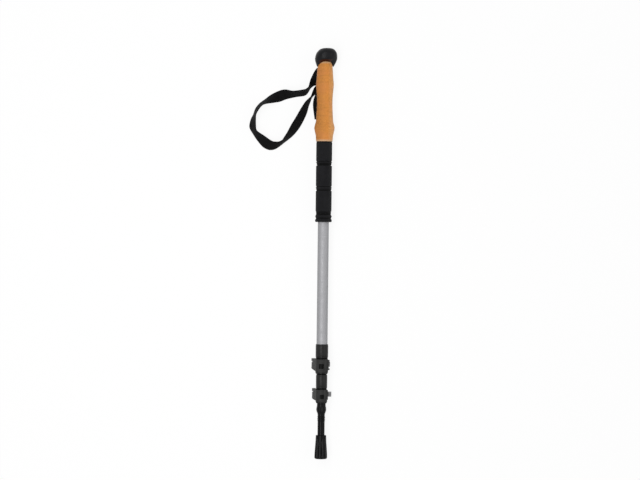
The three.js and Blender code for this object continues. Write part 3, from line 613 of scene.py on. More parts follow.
@dataclass(frozen=True)
class CorkFinish(Finish):
    """Pressed cork: granules of a few tones, dark flecks and open pores."""

    granule: float = 760.0

    def dress(self, desk: NodeDesk, shader: bpy.types.Node) -> None:
        """Wire the granules, flecks, pores and pressing lines to the shader."""
        red, green, blue = self.color
        place = desk.add("ShaderNodeTexCoord").outputs["Object"]
        warp = desk.add("ShaderNodeTexNoise", Vector=place, Scale=900.0, Detail=3.0, Roughness=0.6)
        bent = desk.add("ShaderNodeVectorMath", operation="MULTIPLY_ADD")
        desk.link(warp.outputs["Color"], bent.inputs[0])
        bent.inputs[1].default_value = (0.0014, 0.0014, 0.0014)
        desk.link(place, bent.inputs[2])
        large = desk.add("ShaderNodeTexVoronoi", Vector=bent.outputs[0], Scale=self.granule)
        small = desk.add("ShaderNodeTexVoronoi", Vector=bent.outputs[0], Scale=self.granule * 2.4)
        seams = desk.add("ShaderNodeTexVoronoi", feature="DISTANCE_TO_EDGE", Vector=bent.outputs[0],
                         Scale=self.granule)
        grit = desk.add("ShaderNodeTexNoise", Vector=place, Scale=3200.0, Detail=3.0, Roughness=0.7)
        slow = desk.add("ShaderNodeMapping", Vector=place, Scale=(1.0, 0.5, 0.5))
        drift = desk.add("ShaderNodeTexNoise", Vector=slow.outputs[0], Scale=75.0, Detail=3.0)
        layers = desk.add("ShaderNodeMapping", Vector=place, Scale=(1.0, 0.07, 0.07))
        lines = desk.add("ShaderNodeTexNoise", Vector=layers.outputs[0], Scale=520.0, Detail=2.0)
        parts = desk.add("ShaderNodeSeparateXYZ", Vector=place)
        tint = desk.add("ShaderNodeSeparateColor")
        desk.link(large.outputs["Color"], tint.inputs[0])
        fine = desk.add("ShaderNodeSeparateColor")
        desk.link(small.outputs["Color"], fine.inputs[0])
        tones = desk.ramp(tint.outputs[0], [
            (0.0, self.tone(0.84)), (0.3, self.tone(0.97)), (0.7, self.tone(1.03)), (1.0, self.tone(1.14))])
        mottled = desk.blend(desk.spread(fine.outputs[1], 0.0, 1.0, 0.0, 0.35), tones,
                             (red * 1.04, green * 0.88, blue * 0.8))
        drifted = desk.blend(desk.spread(drift.outputs["Fac"], 0.4, 0.62, 0.0, 0.6), mottled,
                             (red * 1.05, green * 0.96, blue * 1.25))
        seam = desk.spread(seams.outputs["Distance"], 0.0, 0.14, 0.2, 0.0)
        joined = desk.blend(desk.sum_up("MULTIPLY", seam, grit.outputs["Fac"]), drifted, self.tone(0.5))
        pressed = desk.blend(desk.spread(lines.outputs["Fac"], 0.54, 0.68, 0.0, 0.3), joined, self.tone(0.62))
        fleck = desk.sum_up("MULTIPLY", desk.spread(fine.outputs[2], 0.95, 0.98, 0.0, 0.6),
                            desk.spread(small.outputs["Distance"], 0.3, 0.6, 1.0, 0.0))
        flecked = desk.blend(fleck, pressed, (red * 0.34, green * 0.24, blue * 0.3))
        # Painted shade and light across the cork: darker and duller towards +Y, lighter and paler towards -Y, as the
        # lamps fall.
        painted_side_shade = desk.blend(desk.spread(parts.outputs[1], 0.006, -0.004, 0.0, 1.0),
                          desk.blend(1.0, flecked, (0.82, 0.79, 0.7), "MULTIPLY"),
                          desk.blend(1.0, flecked, (1.0, 0.95, 0.78), "MULTIPLY"))
        painted_side_light = desk.blend(desk.spread(parts.outputs[1], -0.0055, -0.0125, 0.0, 1.0), painted_side_shade,
                             desk.blend(1.0, flecked, (1.16, 1.38, 2.0), "MULTIPLY"))
        # Both rounded ends of the cork are lifted to a pale tone: a painted highlight.
        ends = desk.sum_up("MAXIMUM", desk.spread(parts.outputs[0], 0.5222, 0.5197, 0.0, 0.8),
                           desk.spread(parts.outputs[0], 0.6445, 0.6465, 0.0, 0.65))
        cut = desk.blend(ends, painted_side_light, (0.54, 0.36, 0.21))
        # Where marked, the colour goes to a dark brown: a painted shadow in the gap at the cork's lower end.
        painted_shade = desk.add("ShaderNodeAttribute", attribute_name="painted_shade").outputs["Fac"]
        desk.link(desk.blend(painted_shade, cut, (0.028, 0.009, 0.003)), shader.inputs["Base Color"])
        rough = desk.spread(tint.outputs[1], 0.0, 1.0, self.roughness - 0.08, self.roughness + 0.08)
        desk.link(rough, shader.inputs["Roughness"])
        shader.inputs["Specular IOR Level"].default_value = 0.35
        shader.inputs["Sheen Weight"].default_value = 0.3
        shader.inputs["Sheen Roughness"].default_value = 0.25
        pores = desk.sum_up("SUBTRACT", desk.spread(seams.outputs["Distance"], 0.0, 0.16, 0.0, 0.6), fleck)
        uneven = desk.sum_up("ADD", pores, desk.sum_up("MULTIPLY", grit.outputs["Fac"], 0.6))
        self.raise_bump(desk, shader, uneven, 0.4, 0.09)


@dataclass(frozen=True)
class FoamFinish(Finish):
    """Closed-cell foam with small open pores."""

    pore: float = 1500.0

    def dress(self, desk: NodeDesk, shader: bpy.types.Node) -> None:
        """Wire the pores and the dusty blotches to the shader."""
        place = desk.add("ShaderNodeTexCoord").outputs["Object"]
        skin = desk.add("ShaderNodeGroup", node_tree=moulded_skin())
        desk.link(place, skin.inputs["Place"])
        skin.inputs["Grain Scale"].default_value = 1100.0
        skin.inputs["Blotch Scale"].default_value = 70.0
        cells = desk.add("ShaderNodeTexVoronoi", Vector=place, Scale=self.pore)
        open_pore = desk.spread(cells.outputs["Distance"], 0.1, 0.45, 0.0, 1.0)
        base = desk.blend(skin.outputs["Blotch"], self.tone(0.8), self.tone(1.3))
        # The pores are darker than the skin: painted shade in the pits.
        pitted = desk.blend(open_pore, self.tone(0.45), base)
        wear_and_highlight = desk.blend(skin.outputs["Wear"], pitted, self.tone(1.9))
        # Where marked, the foam goes to a near-black: painted shade.
        painted_shade = desk.add("ShaderNodeAttribute", attribute_name="painted_shade").outputs["Fac"]
        desk.link(desk.blend(painted_shade, wear_and_highlight, self.tone(0.12)), shader.inputs["Base Color"])
        desk.link(desk.spread(skin.outputs["Height"], 0.3, 0.7, self.roughness - 0.08, self.roughness + 0.06),
                  shader.inputs["Roughness"])
        shader.inputs["Specular IOR Level"].default_value = 0.07
        shader.inputs["Sheen Weight"].default_value = 0.03
        shader.inputs["Sheen Roughness"].default_value = 0.6
        height = desk.sum_up("ADD", open_pore, desk.sum_up("MULTIPLY", skin.outputs["Height"], 0.5))
        self.raise_bump(desk, shader, height, 0.4, 0.09)


@dataclass(frozen=True)
class WebbingFinish(Finish):
    """Woven webbing: lengthwise ribs crossed by picks, with a firmer edge. U and V are in widths."""

    ribs: int = 15
    picks: float = 17.0

    def dress(self, desk: NodeDesk, shader: bpy.types.Node) -> None:
        """Wire the weave to the shader."""
        mapped = desk.add("ShaderNodeUVMap", uv_map="weave").outputs[0]
        parts = desk.add("ShaderNodeSeparateXYZ", Vector=mapped)
        side, down = parts.outputs[0], parts.outputs[1]
        rib_place = desk.sum_up("MULTIPLY", side, float(self.ribs))
        rib = desk.sum_up("ABSOLUTE", desk.sum_up("SINE", desk.sum_up("MULTIPLY", rib_place, math.pi)))
        odd = desk.sum_up("MULTIPLY", desk.sum_up("FLOOR", rib_place), 0.5)
        pick_place = desk.sum_up("ADD", desk.sum_up("MULTIPLY", down, self.picks), odd)
        pick = desk.sum_up("ABSOLUTE", desk.sum_up("SINE", desk.sum_up("MULTIPLY", pick_place, math.pi)))
        yarn = desk.sum_up("MULTIPLY", desk.sum_up("POWER", rib, 0.6), desk.sum_up("POWER", pick, 0.5))
        from_edge = desk.sum_up("ABSOLUTE", desk.sum_up("SUBTRACT", side, 0.5))
        selvedge = desk.spread(from_edge, 0.44, 0.47, 0.0, 1.0)
        place = desk.add("ShaderNodeTexCoord").outputs["Object"]
        fuzz = desk.add("ShaderNodeTexNoise", Vector=place, Scale=2400.0, Detail=3.0, Roughness=0.7)
        worn = desk.add("ShaderNodeTexNoise", Vector=place, Scale=60.0, Detail=3.0)
        light = desk.sum_up("MULTIPLY", yarn, desk.spread(fuzz.outputs["Fac"], 0.3, 0.7, 0.55, 1.0))
        color = desk.ramp(light, [(0.0, self.tone(0.35)), (0.55, self.tone(1.0)), (1.0, self.tone(2.1))])
        edged = desk.blend(desk.sum_up("MULTIPLY", selvedge, 0.5), color, self.tone(0.7))
        aged = desk.blend(desk.spread(worn.outputs["Fac"], 0.45, 0.75, 0.0, 0.35), edged, self.tone(2.0))
        desk.link(aged, shader.inputs["Base Color"])
        desk.link(desk.spread(fuzz.outputs["Fac"], 0.3, 0.7, self.roughness - 0.08, self.roughness + 0.1),
                  shader.inputs["Roughness"])
        shader.inputs["Specular IOR Level"].default_value = 0.06
        shader.inputs["Sheen Weight"].default_value = 0.02
        shader.inputs["Sheen Roughness"].default_value = 0.5
        height = desk.sum_up("ADD", yarn, desk.sum_up("MULTIPLY", selvedge, 0.6))
        self.raise_bump(desk, shader, height, 0.7, 0.22)


# The bell's rib crests are lifted to a much lighter tone: a painted highlight.
TIP_RUBBER = MouldedFinish("tip_rubber", (0.002, 0.002, 0.0021), 0.24, gloss=0.08, grain=1900.0,
                           relief=0.015, highlight_tone=8.0)
FERRULE_PLASTIC = MouldedFinish("ferrule_plastic", (0.0024, 0.0024, 0.0028), 0.26, gloss=0.09, grain=2400.0,
                                relief=0.01)
INNER_PLASTIC = MouldedFinish("inner_plastic", (0.012, 0.012, 0.0125), 0.5, gloss=0.2)
SLEEVE_PLASTIC = MouldedFinish("sleeve_plastic", (0.0135, 0.0135, 0.0132), 0.33, gloss=0.13, grain=2600.0,
                               relief=0.02)
# The lever's wing side is lifted to a lighter tone: a painted highlight.
LOCK_PLASTIC = MouldedFinish("lock_plastic", (0.025, 0.025, 0.0246), 0.42, gloss=0.06, grain=2600.0, relief=0.05,
                             wear=2.6, highlight_tone=2.3)
# In the head, the marked band goes to a dark brown: painted shade tinted as a reflection of the cork.
HEAD_RUBBER = MouldedFinish("head_rubber", (0.0065, 0.0065, 0.0076), 0.34, gloss=0.12, grain=1500.0, relief=0.04,
                            shade_color=(0.03, 0.006, 0.001))
SILVER_TUBE = MetalFinish("silver_tube_metal", (0.31, 0.31, 0.322), 0.6, metallic=0.5, line=0.05)
INNER_TUBE = MetalFinish("inner_tube_metal", (0.022, 0.022, 0.024), 0.34, metallic=1.0, line=0.15)
SMALL_STEEL = MetalFinish("small_steel", (0.42, 0.42, 0.42), 0.3)
NUT_METAL = MetalFinish("nut_metal", (0.19, 0.19, 0.193), 0.34)
CARBIDE = MetalFinish("tip_carbide", (0.16, 0.16, 0.165), 0.4)
GRIP_CORK = CorkFinish("grip_cork", (0.61, 0.255, 0.056), 0.78)
GRIP_FOAM = FoamFinish("grip_foam", (0.0095, 0.0095, 0.0106), 0.8)
WEBBING = WebbingFinish("strap_webbing", (0.004, 0.004, 0.0042), 0.75)


# ---------------------------------------------------------------- finished pieces

@dataclass(frozen=True)
class Role:
    """What a finished piece is: the body that it rides on, and the solids that it stands for."""

    body: str
    nodes: tuple[str, ...]


@dataclass
class SubAssembly:
    """Pieces that are made and dressed together."""

    made: list[bpy.types.Object] = field(default_factory=list, init=False)

    def finish_piece(self, name: str, shape: Shape, finish: Finish, role: Role,
                     edge: float = 0.0, rides: bool = True) -> bpy.types.Object:
        """Turn a shape into a finished piece in metres.

        Args:
            name: The piece's name.
            shape: Its shape in millimetres.
            finish: What it is made of.
            role: Its body and solids.
            edge: Width of the rounding on its sharp edges, in millimetres.
            rides: Whether it rides on its body, which the wrist loop doesn't.

        Returns:
            The finished piece.
        """
        bmesh.ops.scale(in_order(shape), verts=shape.verts, vec=(MM, MM, MM))
        for face in shape.faces:
            face.smooth = True
        if not edge:
            for seam in shape.edges:
                seam.smooth = seam.calc_face_angle(0.0) < CREASE
        mesh = bpy.data.meshes.new(name)
        shape.to_mesh(mesh)
        shape.free()
        mesh.materials.append(finish.material())
        piece = bpy.data.objects.new(name, mesh)
        bpy.context.scene.collection.objects.link(piece)
        if edge:
            modifier = piece.modifiers.new("worn edges", "BEVEL")
            modifier.width = edge * MM
            modifier.segments = 2
            modifier.limit_method = "ANGLE"
            modifier.angle_limit = WORN
            modifier.harden_normals = True
        if rides:
            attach(piece, role.body)
        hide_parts(*role.nodes)
        self.made.append(piece)
        return piece

    def build(self) -> None:
        """Make and dress every piece."""
        raise NotImplementedError


@dataclass
class TipAssembly(SubAssembly):
    """Rubber protector, plastic ferrule and carbide tip."""

    flutes: int = 12
    flute_phase_deg: float = -10.0
    flute_depth: float = 1.3
    flute_inset: float = 2.6
    flute_length: float = 30.4
    shaft_radius: float = 5.8
    thread_start: float = 62.0
    thread_length: float = 8.0
    thread_height: float = 0.75
    thread_turns: int = 3
    ribs: int = 10
    rib_height: float = 0.5

    def build(self) -> None:
        """Make the protector, the ferrule and the tip."""
        self.finish_piece("rubber_protector", self.protector(), TIP_RUBBER, Role("rubber_tip", ("tip_protector",)))
        self.finish_piece("ferrule", self.ferrule(), FERRULE_PLASTIC, Role("lower_section", ("tip_ferrule",)))
        self.finish_piece("hard_tip", self.hard_tip(), CARBIDE, Role("lower_section", ("carbide_tip",)))

    def protector(self) -> Shape:
        """Turn the rubber bell and press its flutes."""
        body = smooth_through([(2.4, 10.5), (6.5, 10.45), (12.5, 10.12), (20, 9.6), (28, 9.0), (33, 8.75),
                               (36.4, 8.62), (38.0, 8.6)], 56)
        sole = [(0.0, 0.0), (0.0, 3.0), (0.5, 3.3), (0.5, 4.3), (0.0, 4.6), (0.0, 8.2), (0.12, 9.0), (0.55, 9.6),
                (1.2, 10.1), (1.8, 10.4)]
        mouth = [(38.35, 8.5), (38.55, 8.25), (38.6, 7.9), (38.45, 7.3), (37.2, 6.05), (36.4, 5.95),
                 (15.0, 5.95), (15.0, 3.2), (7.5, 3.2), (7.5, 0.0)]
        shape = reshaped(turned([*sole, *body, *mouth], self.flutes * 12), self.press_flute)
        # The rib crests get a painted highlight.
        mark_faces(shape, "wear_and_highlight", self.rib_highlight)
        # The valleys and the mouth get painted shade.
        return mark_faces(shape, "painted_shade", self.flute_shade)

    def press_flute(self, x: float, angle: float, radius: float) -> tuple[float, float, float]:
        """Sink the outer skin between the ribs of the bell."""
        share = (x - self.flute_inset) / self.flute_length
        if radius > 7.5 and 0 < share < 1:
            swell = math.sin(math.pi * math.sqrt(share)) ** 0.8
            radius -= self.flute_depth * swell * self.valley_at(angle)
        return x, radius * math.cos(angle), radius * math.sin(angle)

    def valley_at(self, angle: float) -> float:
        """Say how deep in a flute an angle lies: round ribs, and narrow valleys between them."""
        return 1 - abs(math.cos((angle - math.radians(self.flute_phase_deg)) * self.flutes / 2))

    def rib_highlight(self, at: Vector) -> float:
        """Say how far a place lies on a rib's crest, which gets a painted highlight."""
        along = self.flute_inset < at.x < self.flute_inset + self.flute_length
        return float(along) * (0.3 - self.valley_at(math.atan2(at.z, at.y))) / 0.3

    def flute_shade(self, at: Vector) -> float:
        """Say how much painted shade a place on the bell gets: its valleys, and its mouth round the shaft."""
        if at.x > 36.0 and math.hypot(at.y, at.z) < 7.4:
            return 0.7
        along = self.flute_inset + 2 < at.x < self.flute_inset + self.flute_length - 2
        return float(along) * (self.valley_at(math.atan2(at.z, at.y)) - 0.35) / 0.4

    def ferrule(self) -> Shape:
        """Turn the ferrule, then raise its basket thread and the ribs of its flare."""
        nose = [(15.6, 0), (15.6, 3.9), (16.0, 4.25), (24.6, self.shaft_radius)]
        shaft = [(24.6 + 3.05 * i, self.shaft_radius) for i in range(1, 12)]
        thread = [(60.0 + 0.22 * i, self.shaft_radius) for i in range(51)]
        flare = smooth_through([(71.6, 5.9), (73, 6.05), (75.5, 6.6), (78.5, 7.35), (81, 7.6), (83.5, 7.45),
                                (85.5, 7.25)], 34)
        top = [(87.5, 7.2), (89.6, 7.2), (90.0, 6.9), (90.0, 6.05), (112.0, 6.05), (113.0, 5.1), (113.0, 0)]
        shape = reshaped(turned([*nose, *shaft, *thread, *flare, *top], 100), self.raise_thread)
        # The ring between the thread and the flare gets painted shade.
        return mark_faces(shape, "painted_shade", lambda at: (66.8 < at.x < 71.6) * 0.9)

    def raise_thread(self, x: float, angle: float, radius: float) -> tuple[float, float, float]:
        """Raise the helical thread and the ribs of the flare."""
        past = (x - self.thread_start) / self.thread_length
        if -0.14 < past < 1.1:
            turn = (past * self.thread_turns - angle / FULL_TURN) % 1.0
            crest = min(1.0, max(0.0, 1.55 - abs(turn - 0.5) * 5.2))
            ends = min(1.0, max(0.0, (past + 0.14) * 6), max(0.0, (1.1 - past) * 6))
            radius += self.thread_height * crest * ends
        if 74.6 < x < 86.0:
            swell = math.sin(math.pi * (x - 74.6) / 11.4) ** 0.5
            radius += self.rib_height * swell * max(0.0, math.cos(angle * self.ribs)) ** 0.6
        return x, radius * math.cos(angle), radius * math.sin(angle)

    def hard_tip(self) -> Shape:
        """Turn the carbide tip with its cupped crown."""
        return turned([(9.8, 0), (9.7, 0.7), (9.05, 1.3), (9.0, 1.9), (9.3, 2.1), (15.0, 2.5), (15.6, 2.55),
                       (30.3, 2.55), (30.3, 0)], 40)


@dataclass
class TubeSet(SubAssembly):
    """The three tubes that slide inside each other."""

    sides: int = 96
    shaded: tuple[float, float] = (137.4, 138.9)

    def build(self) -> None:
        """Make the lower, middle and upper tube."""
        for name, start, end, bore, radius, finish, body in (
                ("lower", 90.15, 560.15, 6.2, 7.0, INNER_TUBE, "lower_section"),
                ("middle", 117.45, 599.45, 7.2, 8.0, INNER_TUBE, "middle_section"),
                ("upper", 167.25, 629.15, 8.2, 9.0, SILVER_TUBE, "handle")):
            role = Role(body, (f"{name}_tube",))
            self.finish_piece(f"{name}_section_tube", self.tube(start, end, bore, radius), finish, role)

    def tube(self, start: float, end: float, bore: float, radius: float) -> Shape:
        """Turn one tube with eased ends.

        Args:
            start: Station of its lower end.
            end: Station of its upper end.
            bore: Radius of the hole.
            radius: Outer radius.

        Returns:
            The tube.
        """
        ease = 0.2
        steps = 24
        stations = [start + ease + (end - start - 2 * ease) * i / steps for i in range(steps + 1)]
        stations += [at for at in self.shaded if start < at < end]
        skin = [(at, radius) for at in sorted(stations)]
        shape = turned([(start, radius - ease), *skin, (end, radius - ease), (end, bore + ease),
                        (end - ease, bore), (start + ease, bore), (start, bore + ease)], self.sides, closed=True)
        # The span under the upper lock gets a painted shadow.
        return mark_faces(shape, "painted_shade", lambda at: float(self.shaded[0] < at.x < self.shaded[1]))


@dataclass
class LeverLock(SubAssembly):
    """A lever lock: slotted sleeve, split collar, flip lever, cam pin, bolt, saddle and thumb nut."""

    name: str = "lower"
    start: float = 90.7
    clamp_length: float = 25.0
    sleeve_length: float = 22.0
    inner_tube: float = 7.0
    outer_tube: float = 8.0
    ear: float = 5.1
    fin: float = 10.2
    nut_hub: float = 3.0
    nut_rim: float = 7.9
    recess: float = 7.0
    recess_shift: float = -0.7
    slits_deg: tuple[float, float] = (45, 135)
    lever_wall: float = 1.35
    cam_radius: float = 4.4
    cam_offset: float = 0.55
    cam_gap: float = 0.25
    pin_hole: float = 1.65
    bolt_hole: float = 2.2

    def __post_init__(self) -> None:
        """Work out the sizes that follow from the tubes."""
        self.end = self.start + self.clamp_length
        self.sleeve_end = self.end + self.sleeve_length
        self.collet_inner = self.inner_tube + 0.12
        self.collet_outer = self.collet_inner + 0.9
        self.collar_inner = self.collet_outer + 0.15
        self.collar_outer = self.collar_inner + 1.25
        self.lever_inner = self.collar_outer + 0.25
        self.lever_outer = self.lever_inner + self.lever_wall
        self.sleeve_inner = self.outer_tube + 0.15
        self.sleeve_outer = self.outer_tube + 1.25
        self.shoulder = self.end - 2.6
        self.bolt_x = self.start + self.clamp_length * 0.57
        self.bolt_z = -(self.collar_outer + 2.6)
        self.saddle_start = self.ear + 0.15
        self.saddle_end = self.saddle_start + 1.3
        self.pin_y = self.saddle_end + self.cam_gap + self.cam_radius + self.cam_offset

    def build(self) -> None:
        """Make the seven pieces of the lock."""
        for piece, make, finish, solid, edge in (
                ("sleeve", self.sleeve, SLEEVE_PLASTIC, "lock_sleeve", 0.0),
                ("collar", self.collar, LOCK_PLASTIC, "clamp_collar", 0.3),
                ("lever_arm", self.lever, LOCK_PLASTIC, "lock_lever", 0.35),
                ("hinge_pin", self.hinge_pin, SMALL_STEEL, "cam_pin", 0.0),
                ("bolt", self.bolt, SMALL_STEEL, "tension_bolt", 0.0),
                ("saddle", self.saddle, SMALL_STEEL, "cam_saddle", 0.15),
                ("nut_wheel", self.nut, NUT_METAL, "thumb_nut", 0.12)):
            node = f"{self.name}_{solid}"
            self.finish_piece(f"{self.name}_{piece}", make(), finish, Role(self.home(node), (node,)), edge=edge)

    @staticmethod
    def home(node: str) -> str:
        """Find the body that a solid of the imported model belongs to."""
        bodies = frame["record"]["behaviour"]["bodies"]
        return next(body for body, nodes in bodies.items() if node in nodes)

    def sleeve(self) -> Shape:
        """Turn the collet and sleeve, and saw the collet's slits."""
        outline = [
            (self.start, self.collet_inner), (self.start, self.collet_outer - 0.1),
            (self.start + 0.45, self.collet_outer + 0.6), (self.start + 1.5, self.collet_outer + 0.6),
            (self.start + 1.5, self.collet_outer), (self.end, self.collet_outer),
            (self.end, self.sleeve_outer - 0.7), (self.end + 0.15, self.sleeve_outer - 0.3),
            (self.end + 0.6, self.sleeve_outer), (self.end + 1.6, self.sleeve_outer),
            (self.end + 1.9, self.sleeve_outer - 0.22), (self.end + 2.3, self.sleeve_outer - 0.22),
            (self.end + 2.6, self.sleeve_outer), (self.sleeve_end - 2.4, self.sleeve_outer),
            (self.sleeve_end - 2.1, self.sleeve_outer - 0.15), (self.sleeve_end - 0.5, self.sleeve_outer - 0.15),
            (self.sleeve_end - 0.1, self.sleeve_outer - 0.4), (self.sleeve_end, self.sleeve_outer - 0.7),
            (self.sleeve_end, self.sleeve_inner), (self.end + 1.6, self.sleeve_inner),
            (self.end + 1.6, self.collet_inner)]
        shape = turned(outline, 96, closed=True)
        for turn in self.slits_deg:
            saw = block((self.start - OVERRUN, -0.6, -self.collar_outer - OVERRUN),
                        (self.end - 1.5, 0.6, self.collar_outer + OVERRUN))
            bmesh.ops.rotate(saw, verts=saw.verts, cent=(0, 0, 0), matrix=Matrix.Rotation(math.radians(turn), 3, "X"))
            shape = carved(shape, saw, Carving.CUT)
        # The collet's flange, the sleeve's upper end and its groove get painted shade.
        return mark_faces(shape, "painted_shade", lambda at: 0.9 * float(
            at.x < self.start + 1.5 or at.x > self.sleeve_end - 0.6 or self.end + 1.7 < at.x < self.end + 2.5))

    def collar(self) -> Shape:
        """Make the split collar with its ears and the two fins that guard the nut."""
        low, high = self.start + 1.65, self.end - 0.15
        neck, neck_outer = high - 2.5, self.collar_outer - 0.8
        eased = self.collar_outer - 0.2
        band = turned([(low, self.collar_inner), (low, self.collar_outer - 0.7), (low + 0.4, eased),
                       (low + 1.2, self.collar_outer), (neck - 0.2, self.collar_outer), (neck, eased),
                       (neck, neck_outer), (high, neck_outer), (high, self.collar_inner)], 96, closed=True)
        ears = block((self.bolt_x - 9.3, -self.ear, GROUND_Z), (self.bolt_x + 7, self.ear, -self.collar_inner * 0.5))
        shape = carved(band, rounded(ears, 1.6, lambda way: abs(way.z) > 0.9), Carving.JOIN)
        for x in (self.bolt_x - 8.1, self.bolt_x + 5.8):
            fin = block((x - 1.2, -self.fin, self.bolt_z - 2.5), (x + 1.2, -self.ear + 0.3, self.bolt_z + 5))
            shape = carved(shape, rounded(fin, 1.5, lambda way: abs(way.x) > 0.9), Carving.JOIN)
        bore = rod(self.start, self.end, self.collar_inner, 96)
        shape = carved(shape, bore, Carving.CUT)
        split = block((self.start, -0.9, GROUND_Z - OVERRUN), (self.end, 0.9, 0))
        shape = carved(shape, split, Carving.CUT)
        hole = across(rod(-self.fin - OVERRUN, self.ear + OVERRUN, self.bolt_hole, 32), self.bolt_x, self.bolt_z)
        shape = carved(shape, hole, Carving.CUT)
        # The collar's neck, under the lever, gets painted shade.
        return mark_faces(shape, "painted_shade", lambda at: float(
            at.x > neck - 0.1 and math.hypot(at.y, at.z) < neck_outer + 0.3))

    def lever_profile(self) -> list[Vector]:
        """Draw the lever's section across the pole.

        Returns:
            Corners from the cam round the collar to the finger tab and back.
        """
        begin, end, wing = math.radians(-15), math.radians(134), math.radians(20)
        top = self.bolt_z + self.cam_radius
        far = self.pin_y - self.cam_offset + self.cam_radius

        def arc(radius: float, first: float, last: float, steps: int) -> list[Vector]:
            """Lay points on an arc round the pole's axis."""
            angles = [first + (last - first) * i / steps for i in range(steps + 1)]
            return [Vector((0, radius * math.cos(a), radius * math.sin(a))) for a in angles]

        inner = arc(self.lever_inner, begin, end, 48)
        slope = Vector((0, -math.sin(end), math.cos(end)))
        tip = inner[-1] + slope * 4.2
        tab = [tip, tip + inner[-1].normalized() * self.lever_wall]
        outer = arc(self.lever_outer, end, wing, 40)
        start, bend, finish = outer[-1], Vector((0, far, (top + self.bolt_z) * 0.2)), Vector((0, far, self.bolt_z))
        sweep = [start.lerp(bend, t).lerp(bend.lerp(finish, t), t) for t in (i / 10 for i in range(1, 11))]
        heel = self.saddle_end + self.cam_gap + self.cam_offset + self.lever_wall
        foot = [Vector((0, self.pin_y, self.bolt_z)), Vector((0, heel, top - self.lever_wall / 2))]
        return [*inner, *tab, *outer, *sweep, *foot]

    def lever_plan(self) -> list[Vector]:
        """Draw the lever's outline from above, with the notch behind its shoulder.

        Returns:
            Corners round the outline.
        """
        far = self.pin_y - self.cam_offset + self.cam_radius + OVERRUN
        first, last = self.start + 3.3, self.shoulder
        fork, wing = self.bolt_x - 6.1, self.bolt_x + 9.6
        corners = [
            (first, -self.collar_inner * 0.8), (first, self.collar_inner * 0.85), (fork, far),
            (wing, far), (wing, self.lever_outer * 0.92), (last, self.lever_outer * 0.62),
            (last, -self.collar_outer * 0.75), (last - 1.3, -self.lever_outer - OVERRUN),
            (fork, -self.lever_outer - OVERRUN)]
        return [Vector((x, y, GROUND_Z)) for x, y in corners]

    def lever(self) -> Shape:
        """Make the flip lever with its forked cam, pin hole and bare recess."""
        first, last = self.start + 3.3, self.end
        profile = [point + Vector((first, 0, 0)) for point in self.lever_profile()]
        body = extruded(profile, Vector((last - first, 0, 0)))
        cam = set_at(rod(first, last, self.cam_radius, 64), self.pin_y - self.cam_offset, self.bolt_z)
        body = carved(body, cam, Carving.JOIN)
        plan = extruded(self.lever_plan(), Vector((0, 0, self.lever_outer + OVERRUN - GROUND_Z)))
        body = carved(body, rounded(plan, 1.4, lambda way: abs(way.z) > 0.9, 5), Carving.KEEP)
        slot = block((self.bolt_x - 4.55, self.saddle_start, GROUND_Z - OVERRUN),
                     (self.bolt_x + 4.55, self.pin_y + 6, self.bolt_z + 3.35))
        body = carved(body, slot, Carving.CUT)
        notch = block((self.bolt_x + 3.4, self.pin_y + 2.1, GROUND_Z - OVERRUN),
                      (self.bolt_x + 5.4, self.pin_y + 6, 0))
        body = carved(body, rounded(notch, 0.6, lambda way: abs(way.z) > 0.9), Carving.CUT)
        hole = set_at(rod(self.start, self.end, self.pin_hole, 32), self.pin_y, self.bolt_z)
        body = carved(body, hole, Carving.CUT)
        shell = turned([(self.start, self.lever_outer - 0.6), (self.start, self.lever_outer + OVERRUN),
                        (self.end, self.lever_outer + OVERRUN), (self.end, self.lever_outer - 0.6)], 96, closed=True)
        near, half = self.bolt_x - 6.5, self.recess / 2
        window = block((near, self.recess_shift - half, 0),
                       (near + self.recess, self.recess_shift + half, self.lever_outer + 2))
        recess = carved(shell, rounded(window, 1.2, lambda way: abs(way.z) > 0.9), Carving.KEEP)
        body = carved(body, recess, Carving.CUT)
        # The wing side of the lever gets a painted highlight.
        mark_faces(body, "wear_and_highlight", lambda at: (at.y - self.lever_outer * 0.72) / 1.5)
        # The bare recess gets painted shade.
        return mark_faces(body, "painted_shade", lambda at: float(
            near < at.x < near + self.recess and abs(at.y - self.recess_shift) < half and at.z > 0
            and self.lever_inner + 0.2 < math.hypot(at.y, at.z) < self.lever_outer - 0.25))

    def hinge_pin(self) -> Shape:
        """Turn the pin that the lever swings on."""
        return set_at(rod(self.bolt_x - 5.8, self.bolt_x + 9.3, 1.5, 32, 0.25), self.pin_y, self.bolt_z)

    def bolt(self) -> Shape:
        """Turn the bolt and its cross barrel, and drill the barrel."""
        nut_end = -(self.ear + 0.15 + self.nut_hub + self.nut_rim) + 0.3
        shank = across(rod(nut_end, self.pin_y, 2.0, 32, 0.3), self.bolt_x, self.bolt_z)
        barrel = set_at(rod(self.bolt_x - 4.3, self.bolt_x + 4.3, 3.1, 48, 0.3), self.pin_y, self.bolt_z)
        hole = set_at(rod(self.bolt_x - 6, self.bolt_x + 6, self.pin_hole, 32), self.pin_y, self.bolt_z)
        return carved(carved(shank, barrel, Carving.JOIN), hole, Carving.CUT)

    def saddle(self) -> Shape:
        """Turn the washer between the cam and the ear."""
        ring = turned([(self.saddle_start, self.bolt_hole), (self.saddle_start, 4.2), (self.saddle_end, 4.2),
                       (self.saddle_end, self.bolt_hole)], 48, closed=True)
        return across(ring, self.bolt_x, self.bolt_z)

    def nut(self) -> Shape:
        """Turn the thumb nut and cut its teeth."""
        face = -(self.ear + 0.15)
        rim = face - self.nut_hub
        end = rim - self.nut_rim
        outline = [(face, 2.15), (face, 3.0), (rim, 3.0), (rim, 3.7), (rim - 0.5, 4.2), ((rim + end) / 2, 4.2),
                   (end + 0.5, 4.2), (end, 3.7), (end, 2.6), (end + 0.3, 2.15)]

